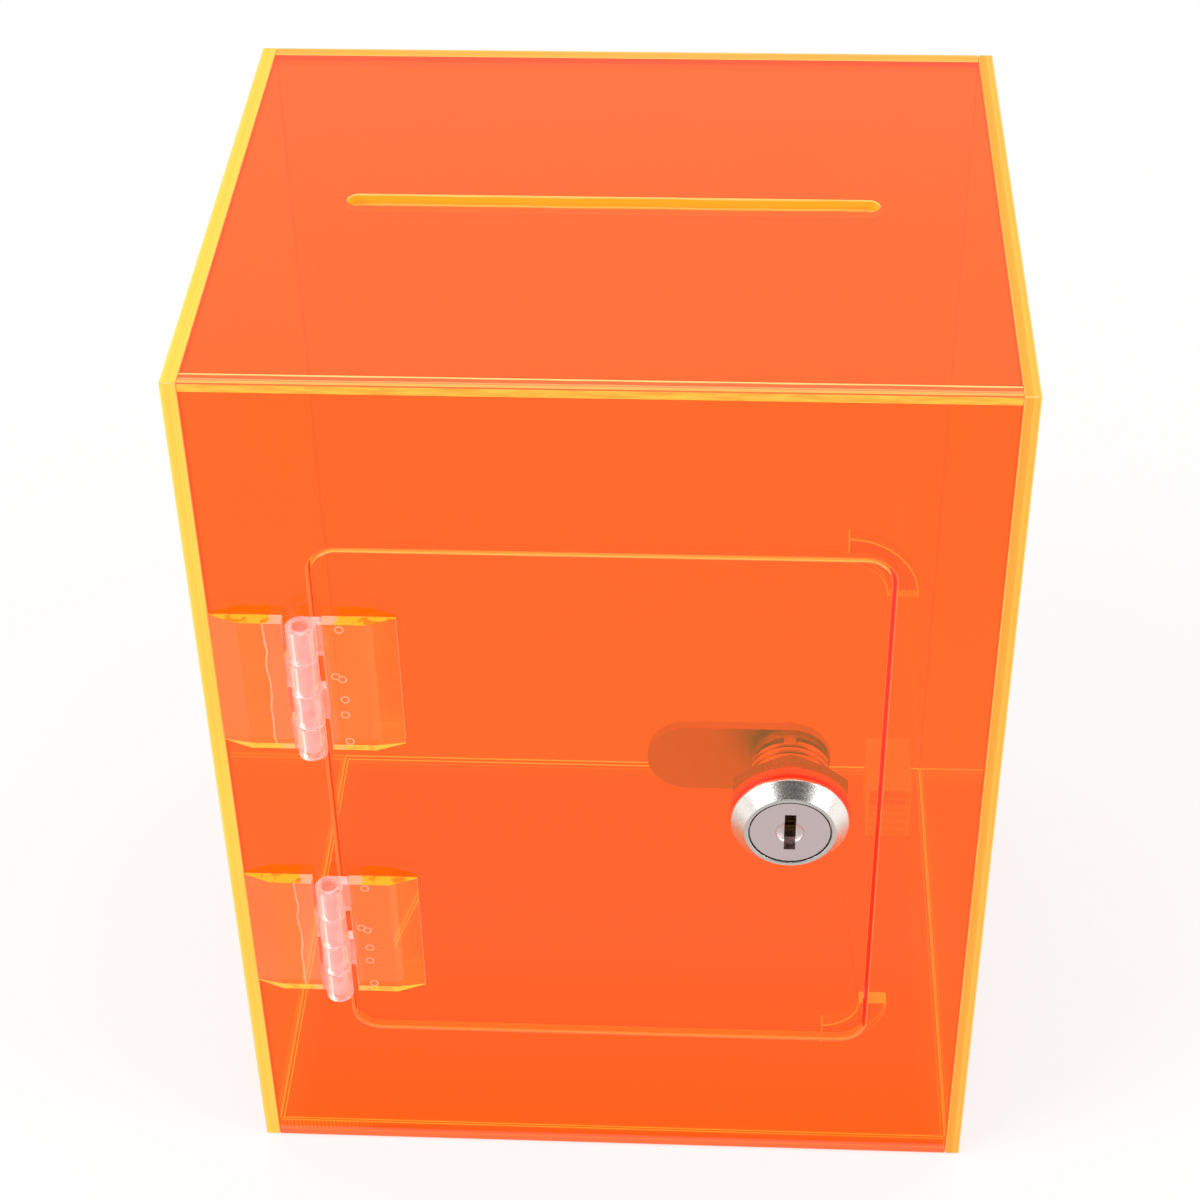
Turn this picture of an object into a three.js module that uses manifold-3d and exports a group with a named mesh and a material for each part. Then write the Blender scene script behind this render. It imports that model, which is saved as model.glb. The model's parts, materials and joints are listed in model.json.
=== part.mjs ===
// Acrylic money box: a box glued from clear orange sheet, with a slot in the top for notes and coins,
// a door in the front on two plastic hinges, and a cam lock whose cam turns behind a glued block.
// Millimetres. +Z is up, the front faces -Y, and the origin is the middle of the base.
// It stands with the door closed and the lock open: the cam points away from its block,
// and half a turn locks it.

import * as THREE from 'three';
import { mergeVertices } from 'three/addons/utils/BufferGeometryUtils.js';
import Module from 'manifold-3d';

// Box, outside sizes
const boxWidth = 150;
const boxDepth = 120;
const boxHeight = 200;
const sheet = 3;
const glueLine = 0.1;

// Slot in the top, with round ends
const slotLength = 100;
const slotWidth = 4.2;
const slotBehindMiddle = 0.5;

// Frame left round the door opening in the front sheet, and the door in it
const frameSide = 19;
const frameTop = 32.7;
const frameBottom = 35.7;
const openingCorner = 5.6;
const doorGap = 0.8;

// Quarter-ring stops behind the door's free corners
const stopInnerRadius = 7.4;
const stopOuterRadius = 13;
const stopInsetSide = 8.9;
const stopInsetEnd = 10.1;

// Hinges: two like leaves, four knuckles and a pin
const hingeHeight = 31;
const hingeAxisOutsideDoor = 2.4;
const upperHingeDrop = 31.2;
const lowerHingeRise = 29.9;
const leafReach = 17.2;
const leafThickness = 2.6;
const leafEndThickness = 0.4;
const leafBevelLength = 5.4;
const leafInnerGap = 0.85;
const knuckleRadius = 2.8;
const knuckleCount = 4;
const knuckleGap = 0.3;
const knuckleLift = 0.3;
const pinRadius = 1.2;
const pinClearance = 0.3;
const pinRecess = 0.8;

// Lock housing: bezel in front of the door, flat-sided barrel through it
const lockFromDoorEdge = 16.5;
const lockBelowDoorMiddle = 0.7;
const bezelRadius = 11.4;
const bezelFaceRadius = 8.7;
const bezelProud = 3.6;
const bezelRimWidth = 0.8;
const bezelFloor = 0.6;
const barrelRadius = 8.2;
const barrelFlats = 14.8;
const barrelLength = 16.6;
const barrelClearance = 0.3;
const nutAcrossFlats = 22;
const nutThickness = 4;

// Lock plug, its keyway and its wafers
const plugHeadRadius = 7.7;
const plugRadius = 5.4;
const plugClearance = 0.3;
const plugHeadRecess = 0.2;
const keywayWidth = 2.2;
const keywayHeight = 9.2;
const keywayInnerHeight = 7.4;
const keywayEnd = 12.8;
const waferCount = 5;
const waferPitch = 2.3;
const firstWafer = 2;
const waferWidth = 4.4;
const waferHeight = 9.5;
const waferThickness = 0.8;
const waferWindowWidth = 2.4;
const waferWindowHeight = 6;
const waferClearance = 0.15;
const waferTravel = 1.2;
const waferTabReach = 1.3;
const waferTabHeight = 1;
const waferTabBase = 0.6;
const waferSpringRadius = 0.45;
const waferSpringLength = 2.95;

// Cam and what holds it on the plug's square tail
const tailWidth = 6;
const tailShort = 0.2;
const tailClearance = 0.15;
const stopWasherRadius = 7.2;
const stopWasherThickness = 1;
const stopTabDepth = 2;
const stopTabInnerRadius = 6.1;
const stopTabHalfAngle = THREE.MathUtils.degToRad(10);
const stopTabPlay = THREE.MathUtils.degToRad(2);
const camWidth = 16.3;
const camReach = 28;
const camThickness = 2;
const springWasherRadius = 4.6;
const springWasherThickness = 1;
const screwRadius = 2.3;
const screwHoleClearance = 0.3;
const screwHoleEnd = 13.5;
const screwHeadAcrossFlats = 8;
const screwHeadThickness = 3.5;
const lockTurn = Math.PI;

// Block that the cam locks behind
const blockInsideOpening = 2.5;
const blockOutsideOpening = 5.7;
const blockHeight = 12.6;
const blockAboveLock = 0.8;
const camToBlock = 0.5;

// Facets
const latheSegments = 40;
const arcSegments = 8;
const weldDistance = 1e-4;
const overcut = 1;
const quarterTurn = Math.PI / 2;

// Places worked out from the sizes above
const innerHalfWidth = boxWidth / 2 - sheet;
const frontFace = -boxDepth / 2;
const frontInside = frontFace + sheet;
const backInside = boxDepth / 2 - sheet;
const topInside = boxHeight - sheet;
const openingRight = innerHalfWidth - frameSide;
const openingTop = topInside - frameTop;
const openingBottom = frameBottom;
const openingMiddle = (openingTop + openingBottom) / 2;
const doorRight = openingRight - doorGap;
const hingeAxisX = -doorRight - hingeAxisOutsideDoor;
const hingeAxisForward = knuckleRadius + knuckleLift;
const lockX = doorRight - lockFromDoorEdge;
const lockZ = openingMiddle - lockBelowDoorMiddle;
const washerFront = barrelLength + plugClearance;
const camFront = washerFront + stopWasherThickness;
const camBack = camFront + camThickness;
const screwHeadFront = camBack + springWasherThickness;

// Solids for joining and cutting

function solidOf(geometry) {
  const bare = geometry.clone();
  bare.deleteAttribute('normal');
  bare.deleteAttribute('uv');
  const merged = mergeVertices(bare, weldDistance);
  const corners = merged.index.array;
  const triangles = [];
  for (let i = 0; i < corners.length; i += 3) {
    const [a, b, c] = corners.slice(i, i + 3);
    if (a !== b && b !== c && c !== a) {
      triangles.push(a, b, c);
    }
  }
  return new wasm.Manifold(new wasm.Mesh({
    numProp: 3,
    vertProperties: merged.attributes.position.array,
    triVerts: Uint32Array.from(triangles),
  }));
}

function geometryOf(solid) {
  const mesh = solid.getMesh();
  const geometry = new THREE.BufferGeometry();
  geometry.setAttribute('position', new THREE.BufferAttribute(mesh.vertProperties, 3));
  geometry.setIndex(new THREE.BufferAttribute(mesh.triVerts, 1));
  geometry.computeVertexNormals();
  return geometry;
}

function joined(...geometries) {
  const [first, ...others] = geometries.map(solidOf);
  return geometryOf(others.reduce((whole, other) => whole.add(other), first));
}

function cut(geometry, ...tools) {
  const start = solidOf(geometry);
  return geometryOf(tools.map(solidOf).reduce((rest, tool) => rest.subtract(tool), start));
}

// Shapes

function boxBetween([x0, x1], [y0, y1], [z0, z1]) {
  const geometry = new THREE.BoxGeometry(x1 - x0, y1 - y0, z1 - z0);
  return geometry.translate((x0 + x1) / 2, (y0 + y1) / 2, (z0 + z1) / 2);
}

// Outlines for front-facing pieces are drawn in X and Z, and run back along Y from yFront
function extrudedBack(outline, yFront, depth) {
  const settings = { depth, bevelEnabled: false, curveSegments: arcSegments };
  const geometry = new THREE.ExtrudeGeometry(outline, settings);
  return geometry.rotateX(quarterTurn).translate(0, yFront + depth, 0);
}

function extrudedUp(outline, zBottom, height) {
  const settings = { depth: height, bevelEnabled: false, curveSegments: arcSegments };
  return new THREE.ExtrudeGeometry(outline, settings).translate(0, 0, zBottom);
}

function roundedRectangle(path, [x0, x1], [z0, z1], radius) {
  path.moveTo(x0 + radius, z0);
  path.lineTo(x1 - radius, z0);
  path.absarc(x1 - radius, z0 + radius, radius, -quarterTurn, 0);
  path.lineTo(x1, z1 - radius);
  path.absarc(x1 - radius, z1 - radius, radius, 0, quarterTurn);
  path.lineTo(x0 + radius, z1);
  path.absarc(x0 + radius, z1 - radius, radius, quarterTurn, 2 * quarterTurn);
  path.lineTo(x0, z0 + radius);
  path.absarc(x0 + radius, z0 + radius, radius, 2 * quarterTurn, 3 * quarterTurn);
  return path;
}

function rectangle(path, [x0, x1], [z0, z1]) {
  path.moveTo(x0, z0);
  path.lineTo(x1, z0);
  path.lineTo(x1, z1);
  path.lineTo(x0, z1);
  path.closePath();
  return path;
}

// A circle with a flat on its left and right, as the lock's barrel has
function flatSidedCircle(path, x, z, radius, acrossFlats) {
  const flatAngle = Math.acos(acrossFlats / 2 / radius);
  path.moveTo(x + acrossFlats / 2, z - radius * Math.sin(flatAngle));
  path.absarc(x, z, radius, flatAngle, Math.PI - flatAngle);
  path.absarc(x, z, radius, Math.PI + flatAngle, 2 * Math.PI - flatAngle);
  path.closePath();
  return path;
}

// A hexagon with flats on its left and right
function hexagon(acrossFlats) {
  const cornerRadius = acrossFlats / Math.sqrt(3);
  const outline = new THREE.Shape();
  for (let corner = 0; corner < 6; corner += 1) {
    const angle = quarterTurn + corner * Math.PI / 3;
    const point = [cornerRadius * Math.cos(angle), cornerRadius * Math.sin(angle)];
    if (corner === 0) {
      outline.moveTo(...point);
    } else {
      outline.lineTo(...point);
    }
  }
  outline.closePath();
  return outline;
}

function ringSector(x, z, innerRadius, outerRadius, startAngle, endAngle) {
  const outline = new THREE.Shape();
  outline.moveTo(x + innerRadius * Math.cos(startAngle), z + innerRadius * Math.sin(startAngle));
  outline.absarc(x, z, outerRadius, startAngle, endAngle, false);
  outline.absarc(x, z, innerRadius, endAngle, startAngle, true);
  outline.closePath();
  return outline;
}

// A profile of radius and Y turned round the Y axis; it is listed from the front, up the outside and back
function turned(profile) {
  const points = profile.map(([radius, y]) => new THREE.Vector2(radius, y));
  return new THREE.LatheGeometry(points, latheSegments);
}

// Materials and meshes

const orangeAcrylic = { color: '#ff6a2b', roughness: 0.06, metalness: 0, transparent: true, opacity: 0.75 };
const clearPlastic = { color: '#ffd9cf', roughness: 0.1, metalness: 0, transparent: true, opacity: 0.45 };
const pinPlastic = { color: '#ffc9c4', roughness: 0.25, metalness: 0 };
const nickelPlate = { color: '#cfcac4', roughness: 0.25, metalness: 1 };
const zincPlate = { color: '#a9a49b', roughness: 0.4, metalness: 1 };
const brass = { color: '#b08d4a', roughness: 0.35, metalness: 1 };
const springSteel = { color: '#8d8f92', roughness: 0.3, metalness: 1 };

function piece(name, geometry, finish) {
  const mesh = new THREE.Mesh(geometry, new THREE.MeshStandardMaterial(finish));
  mesh.name = name;
  return mesh;
}

// Box sheets: the sides are outermost, the back and front lie between them,
// and the top and bottom lie inside all four

function sidePanel(name, side) {
  const xInner = side * innerHalfWidth;
  const xOuter = side * boxWidth / 2;
  const x = [Math.min(xInner, xOuter), Math.max(xInner, xOuter)];
  return piece(name, boxBetween(x, [frontFace, -frontFace], [0, boxHeight]), orangeAcrylic);
}

const betweenSides = [-innerHalfWidth + glueLine, innerHalfWidth - glueLine];
const betweenFrontAndBack = [frontInside + glueLine, backInside - glueLine];

function backPanel() {
  const y = [backInside, -frontFace];
  return piece('back_panel', boxBetween(betweenSides, y, [0, boxHeight]), orangeAcrylic);
}

function bottomPanel() {
  return piece('bottom_panel', boxBetween(betweenSides, betweenFrontAndBack, [0, sheet]), orangeAcrylic);
}

function topPanel() {
  const outline = rectangle(new THREE.Shape(), betweenSides, betweenFrontAndBack);
  const slotX = [-slotLength / 2, slotLength / 2];
  const slotY = [slotBehindMiddle - slotWidth / 2, slotBehindMiddle + slotWidth / 2];
  outline.holes.push(roundedRectangle(new THREE.Path(), slotX, slotY, slotWidth / 2));
  return piece('top_panel', extrudedUp(outline, topInside, sheet), orangeAcrylic);
}

function frontPanel() {
  const outline = rectangle(new THREE.Shape(), betweenSides, [0, boxHeight]);
  const opening = [[-openingRight, openingRight], [openingBottom, openingTop]];
  outline.holes.push(roundedRectangle(new THREE.Path(), ...opening, openingCorner));
  return piece('front_panel', extrudedBack(outline, frontFace, sheet), orangeAcrylic);
}

function doorStop(name, z, startAngle) {
  const x = openingRight - stopInsetSide;
  const ring = ringSector(x, z, stopInnerRadius, stopOuterRadius, startAngle, startAngle + quarterTurn);
  return piece(name, extrudedBack(ring, frontInside + glueLine, sheet), orangeAcrylic);
}

function strikeBlock() {
  const x = [openingRight - blockInsideOpening, openingRight + blockOutsideOpening];
  const y = [frontInside + glueLine, frontFace + camFront - camToBlock];
  const middle = lockZ + blockAboveLock;
  const z = [middle - blockHeight / 2, middle + blockHeight / 2];
  return piece('strike_block', boxBetween(x, y, z), orangeAcrylic);
}

// Hinges: round the hinge axis, with the sheet's face behind it at +Y

function hingeLeafGeometry() {
  const rear = hingeAxisForward - glueLine;
  const front = hingeAxisForward - leafThickness;
  const inner = -knuckleRadius - leafInnerGap;
  const plate = new THREE.Shape();
  plate.moveTo(inner, rear);
  plate.lineTo(-leafReach, rear);
  plate.lineTo(-leafReach, rear - leafEndThickness);
  plate.lineTo(-leafReach + leafBevelLength, front);
  plate.lineTo(inner, front);
  plate.closePath();

  const webAngle = Math.PI - Math.asin(front / knuckleRadius);
  const webEnd = inner - leafInnerGap;
  const knuckle = new THREE.Shape();
  knuckle.moveTo(webEnd, knuckleRadius);
  knuckle.lineTo(webEnd, front);
  knuckle.absarc(0, 0, knuckleRadius, webAngle, 2 * Math.PI + quarterTurn);
  knuckle.closePath();
  knuckle.holes.push(new THREE.Path().absarc(0, 0, pinRadius + pinClearance, 0, 2 * Math.PI));

  const pitch = (hingeHeight + knuckleGap) / knuckleCount;
  const parts = [extrudedUp(plate, -hingeHeight / 2, hingeHeight)];
  for (let knuckleIndex = 0; knuckleIndex < knuckleCount; knuckleIndex += 2) {
    const bottom = -hingeHeight / 2 + knuckleIndex * pitch;
    parts.push(extrudedUp(knuckle, bottom, pitch - knuckleGap));
  }
  return joined(...parts);
}

function hinge(name, z) {
  const group = new THREE.Group();
  group.position.set(hingeAxisX, frontFace - hingeAxisForward, z);
  const frameLeaf = piece(`${name}_hinge_frame_leaf`, hingeLeafGeometry(), clearPlastic);
  const doorLeaf = piece(`${name}_hinge_door_leaf`, hingeLeafGeometry(), clearPlastic);
  doorLeaf.rotation.y = Math.PI;
  const pinLength = hingeHeight - 2 * pinRecess;
  const pinShape = new THREE.CylinderGeometry(pinRadius, pinRadius, pinLength, 2 * arcSegments);
  const pin = piece(`${name}_hinge_pin`, pinShape.rotateX(quarterTurn), pinPlastic);
  group.add(frameLeaf, doorLeaf, pin);
  return group;
}

// Door

function doorPanel() {
  const x = [-doorRight, doorRight];
  const z = [openingBottom + doorGap, openingTop - doorGap];
  const outline = roundedRectangle(new THREE.Shape(), x, z, openingCorner - doorGap);
  const hole = [barrelRadius + barrelClearance, barrelFlats + 2 * barrelClearance];
  outline.holes.push(flatSidedCircle(new THREE.Path(), lockX, lockZ, ...hole));
  return piece('door_panel', extrudedBack(outline, frontFace, sheet), orangeAcrylic);
}

// Lock: round its own axis along Y, with the door's front face at Y = 0 and drawn as it stands when locked

function lockHousing() {
  const headBore = plugHeadRadius + plugClearance;
  const bodyBore = plugRadius + plugClearance;
  const body = turned([
    [headBore, -bezelProud],
    [bezelFaceRadius, -bezelProud],
    [bezelRadius, -bezelRimWidth],
    [bezelRadius, 0],
    [barrelRadius, 0],
    [barrelRadius, barrelLength],
    [bodyBore, barrelLength],
    [bodyBore, -bezelFloor],
    [headBore, -bezelFloor],
    [headBore, -bezelProud],
  ]);

  const flat = barrelFlats / 2;
  const past = 2 * barrelRadius;
  const tools = [-1, 1].map((side) => {
    const x = side > 0 ? [flat, past] : [-past, -flat];
    return boxBetween(x, [0, barrelLength + overcut], [-past, past]);
  });

  const grooveReach = waferHeight / 2 + waferTravel + 2 * waferClearance;
  const grooveHalf = waferWidth / 2 + waferClearance;
  const grooveFront = firstWafer - waferPitch / 2;
  const grooveY = [grooveFront, grooveFront + waferCount * waferPitch];
  tools.push(boxBetween([-grooveReach, grooveReach], grooveY, [-grooveHalf, grooveHalf]));
  tools.push(boxBetween([-grooveHalf, grooveHalf], grooveY, [-grooveReach, grooveReach]));

  const play = stopTabHalfAngle + stopTabPlay;
  const lockedAngle = 3 * quarterTurn;
  const notchAngles = [lockedAngle - lockTurn - play, lockedAngle + play];
  const notch = ringSector(0, 0, plugRadius, past, ...notchAngles);
  const notchDepth = stopTabDepth + plugClearance;
  tools.push(extrudedBack(notch, barrelLength - notchDepth, notchDepth + overcut));
  return piece('lock_housing', cut(body, ...tools), nickelPlate);
}

function lockFixingNut() {
  const outline = hexagon(nutAcrossFlats);
  outline.holes.push(new THREE.Path().absarc(0, 0, barrelRadius + barrelClearance, 0, 2 * Math.PI));
  return piece('lock_fixing_nut', extrudedBack(outline, sheet, nutThickness), nickelPlate);
}

const pocketReach = waferWidth / 2 + waferTabReach + waferClearance;
const springBottom = waferTabBase - waferClearance - waferSpringLength;

function lockPlug() {
  const headFront = -bezelProud + plugHeadRecess;
  const headBack = -bezelFloor - plugClearance;
  const body = turned([
    [0, headFront],
    [plugHeadRadius, headFront],
    [plugHeadRadius, headBack],
    [plugRadius, headBack],
    [plugRadius, washerFront],
    [0, washerFront],
  ]);
  const tailHalf = tailWidth / 2;
  const tailY = [washerFront - overcut, camBack - tailShort];
  const tail = boxBetween([-tailHalf, tailHalf], tailY, [-tailHalf, tailHalf]);

  const keywayHalf = keywayWidth / 2;
  const outer = keywayHeight / 2;
  const inner = keywayInnerHeight / 2;
  const tools = [
    boxBetween([-keywayHalf, keywayHalf], [headFront - overcut, headBack], [-outer, outer]),
    boxBetween([-keywayHalf, keywayHalf], [headBack - overcut, keywayEnd], [-inner, inner]),
  ];
  const slotHalf = waferWidth / 2 + waferClearance;
  const pocketTop = waferTabBase + waferTabHeight + waferTravel + waferClearance;
  for (let wafer = 0; wafer < waferCount; wafer += 1) {
    const middle = firstWafer + wafer * waferPitch;
    const slotDepth = waferThickness / 2 + waferClearance;
    const y = [middle - slotDepth, middle + slotDepth];
    tools.push(boxBetween([-slotHalf, slotHalf], y, [-2 * plugRadius, 2 * plugRadius]));
    tools.push(boxBetween([0, pocketReach], y, [springBottom - waferClearance, pocketTop]));
  }
  const screwHole = new THREE.Shape().absarc(0, 0, screwRadius + screwHoleClearance, 0, 2 * Math.PI);
  tools.push(extrudedBack(screwHole, screwHoleEnd, camBack - screwHoleEnd));
  return piece('lock_plug', cut(joined(body, tail), ...tools), nickelPlate);
}

// A wafer is a plate with a window for the key and a tab that its spring lifts
function lockWafer(number) {
  const half = waferWidth / 2;
  const tabX = half + waferTabReach;
  const outline = new THREE.Shape();
  outline.moveTo(-half, -waferHeight / 2);
  outline.lineTo(half, -waferHeight / 2);
  outline.lineTo(half, waferTabBase);
  outline.lineTo(tabX, waferTabBase);
  outline.lineTo(tabX, waferTabBase + waferTabHeight);
  outline.lineTo(half, waferTabBase + waferTabHeight);
  outline.lineTo(half, waferHeight / 2);
  outline.lineTo(-half, waferHeight / 2);
  outline.closePath();
  const windowX = [-waferWindowWidth / 2, waferWindowWidth / 2];
  const windowZ = [-waferWindowHeight / 2, waferWindowHeight / 2];
  outline.holes.push(rectangle(new THREE.Path(), windowX, windowZ));
  const front = firstWafer + number * waferPitch - waferThickness / 2;
  return piece(`lock_wafer_${number + 1}`, extrudedBack(outline, front, waferThickness), brass);
}

function waferSpring(number) {
  const radius = waferSpringRadius;
  const spring = new THREE.CylinderGeometry(radius, radius, waferSpringLength, arcSegments);
  const x = (waferWidth / 2 + pocketReach) / 2;
  const y = firstWafer + number * waferPitch;
  spring.rotateX(quarterTurn).translate(x, y, springBottom + waferSpringLength / 2);
  return piece(`wafer_spring_${number + 1}`, spring, springSteel);
}

function squareTailHole() {
  const half = tailWidth / 2 + tailClearance;
  return rectangle(new THREE.Path(), [-half, half], [-half, half]);
}

// The washer's bent tab runs in the notch at the barrel's end, and limits the plug to half a turn
function lockStopWasher() {
  const disc = new THREE.Shape().absarc(0, 0, stopWasherRadius, 0, 2 * Math.PI);
  disc.holes.push(squareTailHole());
  const down = 3 * quarterTurn;
  const angles = [down - stopTabHalfAngle, down + stopTabHalfAngle];
  const tab = ringSector(0, 0, stopTabInnerRadius, stopWasherRadius, ...angles);
  const tabFront = barrelLength - stopTabDepth;
  const plate = extrudedBack(disc, washerFront, stopWasherThickness);
  const bentTab = extrudedBack(tab, tabFront, camFront - tabFront);
  return piece('lock_stop_washer', joined(plate, bentTab), zincPlate);
}

function lockCam() {
  const half = camWidth / 2;
  const outline = new THREE.Shape();
  outline.moveTo(0, -half);
  outline.absarc(camReach - half, 0, half, -quarterTurn, quarterTurn);
  outline.absarc(0, 0, half, quarterTurn, 3 * quarterTurn);
  outline.holes.push(squareTailHole());
  return piece('lock_cam', extrudedBack(outline, camFront, camThickness), zincPlate);
}

function camSpringWasher() {
  const ring = new THREE.Shape().absarc(0, 0, springWasherRadius, 0, 2 * Math.PI);
  ring.holes.push(new THREE.Path().absarc(0, 0, screwRadius + screwHoleClearance, 0, 2 * Math.PI));
  return piece('cam_spring_washer', extrudedBack(ring, camBack, springWasherThickness), springSteel);
}

function camScrew() {
  const shank = new THREE.Shape().absarc(0, 0, screwRadius, 0, 2 * Math.PI);
  const shankFront = screwHoleEnd + screwHoleClearance;
  const headBack = screwHeadFront + screwHeadThickness;
  const head = extrudedBack(hexagon(screwHeadAcrossFlats), screwHeadFront, screwHeadThickness);
  const thread = extrudedBack(shank, shankFront, headBack - shankFront);
  return piece('cam_screw', joined(thread, head), zincPlate);
}

function lock() {
  const group = new THREE.Group();
  group.position.set(lockX, frontFace, lockZ);
  group.add(lockHousing(), lockFixingNut());
  const turning = new THREE.Group();
  turning.rotation.y = lockTurn;
  turning.add(lockPlug(), lockStopWasher(), lockCam(), camSpringWasher(), camScrew());
  for (let wafer = 0; wafer < waferCount; wafer += 1) {
    turning.add(lockWafer(wafer), waferSpring(wafer));
  }
  group.add(turning);
  return group;
}

// The whole box

const wasm = await Module();
wasm.setup();

const moneyBox = new THREE.Group();
moneyBox.add(sidePanel('left_side_panel', -1), sidePanel('right_side_panel', 1));
moneyBox.add(backPanel(), bottomPanel(), topPanel(), frontPanel());
moneyBox.add(doorStop('upper_door_stop', openingTop - stopInsetEnd, 0));
moneyBox.add(doorStop('lower_door_stop', openingBottom + stopInsetEnd, -quarterTurn));
moneyBox.add(strikeBlock());
moneyBox.add(hinge('upper', openingTop - upperHingeDrop), hinge('lower', openingBottom + lowerHingeRise));
moneyBox.add(doorPanel(), lock());

export default moneyBox;
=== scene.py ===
"""The looks of an acrylic money box: clear orange sheet with glowing edges, plastic hinges and a cam lock."""

import json
import math

import bpy
from bpy.props import FloatProperty, FloatVectorProperty, IntProperty, PointerProperty
from mathutils import Matrix, Vector

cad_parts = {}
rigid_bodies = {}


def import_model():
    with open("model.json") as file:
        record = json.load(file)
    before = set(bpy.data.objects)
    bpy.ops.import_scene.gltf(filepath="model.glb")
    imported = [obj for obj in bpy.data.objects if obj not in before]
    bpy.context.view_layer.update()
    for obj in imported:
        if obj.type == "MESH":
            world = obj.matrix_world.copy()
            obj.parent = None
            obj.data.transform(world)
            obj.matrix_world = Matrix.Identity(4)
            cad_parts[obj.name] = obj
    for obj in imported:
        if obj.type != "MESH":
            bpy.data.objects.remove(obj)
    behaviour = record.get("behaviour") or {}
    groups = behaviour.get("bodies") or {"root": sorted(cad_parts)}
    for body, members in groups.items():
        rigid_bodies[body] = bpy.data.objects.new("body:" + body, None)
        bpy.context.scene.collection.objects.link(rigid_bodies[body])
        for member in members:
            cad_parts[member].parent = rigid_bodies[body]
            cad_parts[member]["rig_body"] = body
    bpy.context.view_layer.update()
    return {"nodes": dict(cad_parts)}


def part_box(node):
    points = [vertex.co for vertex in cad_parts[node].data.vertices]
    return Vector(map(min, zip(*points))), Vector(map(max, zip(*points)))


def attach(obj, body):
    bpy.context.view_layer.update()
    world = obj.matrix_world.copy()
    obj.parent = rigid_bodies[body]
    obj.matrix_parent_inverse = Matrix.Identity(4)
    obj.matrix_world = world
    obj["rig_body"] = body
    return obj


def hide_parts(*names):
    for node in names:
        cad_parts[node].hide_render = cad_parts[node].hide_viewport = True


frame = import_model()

bl_info = {
    "name": "Acrylic money box",
    "version": (1, 0, 0),
    "blender": (4, 5, 0),
    "location": "3D View > Sidebar > Money box",
    "description": "Builds the sheets, hinges, lock and stage of an acrylic money box on its packed frame",
    "category": "Object",
}

MM = 0.001
WELD = 1e-6
SHEET = 3 * MM
CORNER_COSINE = 0.75
ACRYLIC_IOR = 1.49
# A wave texture of scale 1 repeats every 0.314, so a cell of 6.3 pitches gives strokes one pitch wide.
STROKE_CELL = 6.3
FACE, CUT, GLUED, ARRIS, GAP, JOINT, WALL, TOP, SAWN, PALE_GLOW = range(10)
PLASTIC, END, FILM, KNUCKLE, BUTT, FOOT = range(6)


def linear(hex_colour):
    """An sRGB hex colour as linear red, green, blue and alpha."""
    values = [int(hex_colour[i:i + 2], 16) / 255 for i in (1, 3, 5)]
    return tuple(v / 12.92 if v <= 0.04045 else ((v + 0.055) / 1.055) ** 2.4 for v in values) + (1.0,)


def colour_property(name, description, hex_colour):
    """A colour setting with an sRGB default."""
    return FloatVectorProperty(
        name=name, description=description, subtype="COLOR", size=4, min=0, max=1, default=linear(hex_colour))


def length_property(name, description, millimetres):
    """A length setting with its default in millimetres."""
    return FloatProperty(name=name, description=description, unit="LENGTH", default=millimetres * MM)


class SheetSettings(bpy.types.PropertyGroup):
    """What a user would change about the acrylic sheets."""

    body: colour_property("Body", "Colour that one thickness of sheet lets through", "#fc7622")
    glow: colour_property("Glow", "Light that the dye gives back inside the sheet", "#fff022")
    strength: FloatProperty(
        name="Glow strength", description="Strength of the dye's light", default=0.06, min=0)
    arris: length_property("Arris", "Width of the eased corner along a cut edge", 0.2)


class HingeSettings(bpy.types.PropertyGroup):
    """What a user would change about the hinges."""

    rounding: length_property("Rounding", "Radius of the moulded corners", 0.14)
    sides: IntProperty(name="Sides", description="Flats round a knuckle", default=48, min=12, max=128)


class LockSettings(bpy.types.PropertyGroup):
    """What a user would change about the lock."""

    thread: length_property("Thread pitch", "Distance between the threads of the barrel", 1.75)
    thread_depth: length_property("Thread depth", "Depth of a thread", 0.6)
    dish: length_property("Dish radius", "Radius of the dish round the keyway", 2.75)
    plate: colour_property("Plate", "Colour of the nickel plate", "#f1ece6")
    sides: IntProperty(name="Sides", description="Flats round the bezel", default=96, min=24, max=256)


class StageSettings(bpy.types.PropertyGroup):
    """What a user would change about the floor, light and camera."""

    floor: colour_property("Floor", "Colour of the floor and the backdrop", "#f6f5f4")
    light: FloatProperty(name="Light", description="Strength of the surrounding light", default=0.62, min=0)
    lens: FloatProperty(name="Lens", description="Focal length of the camera", unit="CAMERA", default=78.2)


def select_only(piece):
    """Makes one piece the selected and active object."""
    if bpy.context.object and bpy.context.object.mode != "OBJECT":
        bpy.ops.object.mode_set(mode="OBJECT")
    bpy.ops.object.select_all(action="DESELECT")
    piece.select_set(True)
    bpy.context.view_layer.objects.active = piece


def open_mesh(piece):
    """Opens a piece's mesh for editing, with all of it selected."""
    select_only(piece)
    bpy.ops.object.mode_set(mode="EDIT")
    bpy.ops.mesh.select_all(action="SELECT")


def named(name):
    """The active object, just added, under its name and with its place put into its mesh."""
    piece = bpy.context.object
    piece.name = piece.data.name = name
    bpy.ops.object.transform_apply(location=True, rotation=True, scale=True)
    return piece


def block(name, low, high):
    """A box between two corners."""
    bpy.ops.object.select_all(action="DESELECT")
    middle = [(a + b) / 2 for a, b in zip(low, high)]
    bpy.ops.mesh.primitive_cube_add(size=1, location=middle, scale=[b - a for a, b in zip(low, high)])
    return named(name)


def rod(name, middle, radius, depth, sides, along="Z"):
    """A round or many-sided bar along Z or Y."""
    bpy.ops.object.select_all(action="DESELECT")
    turn = (math.pi / 2, 0, 0) if along == "Y" else (0, 0, 0)
    bpy.ops.mesh.primitive_cylinder_add(
        vertices=sides, radius=radius, depth=depth, location=middle, rotation=turn)
    return named(name)


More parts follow.
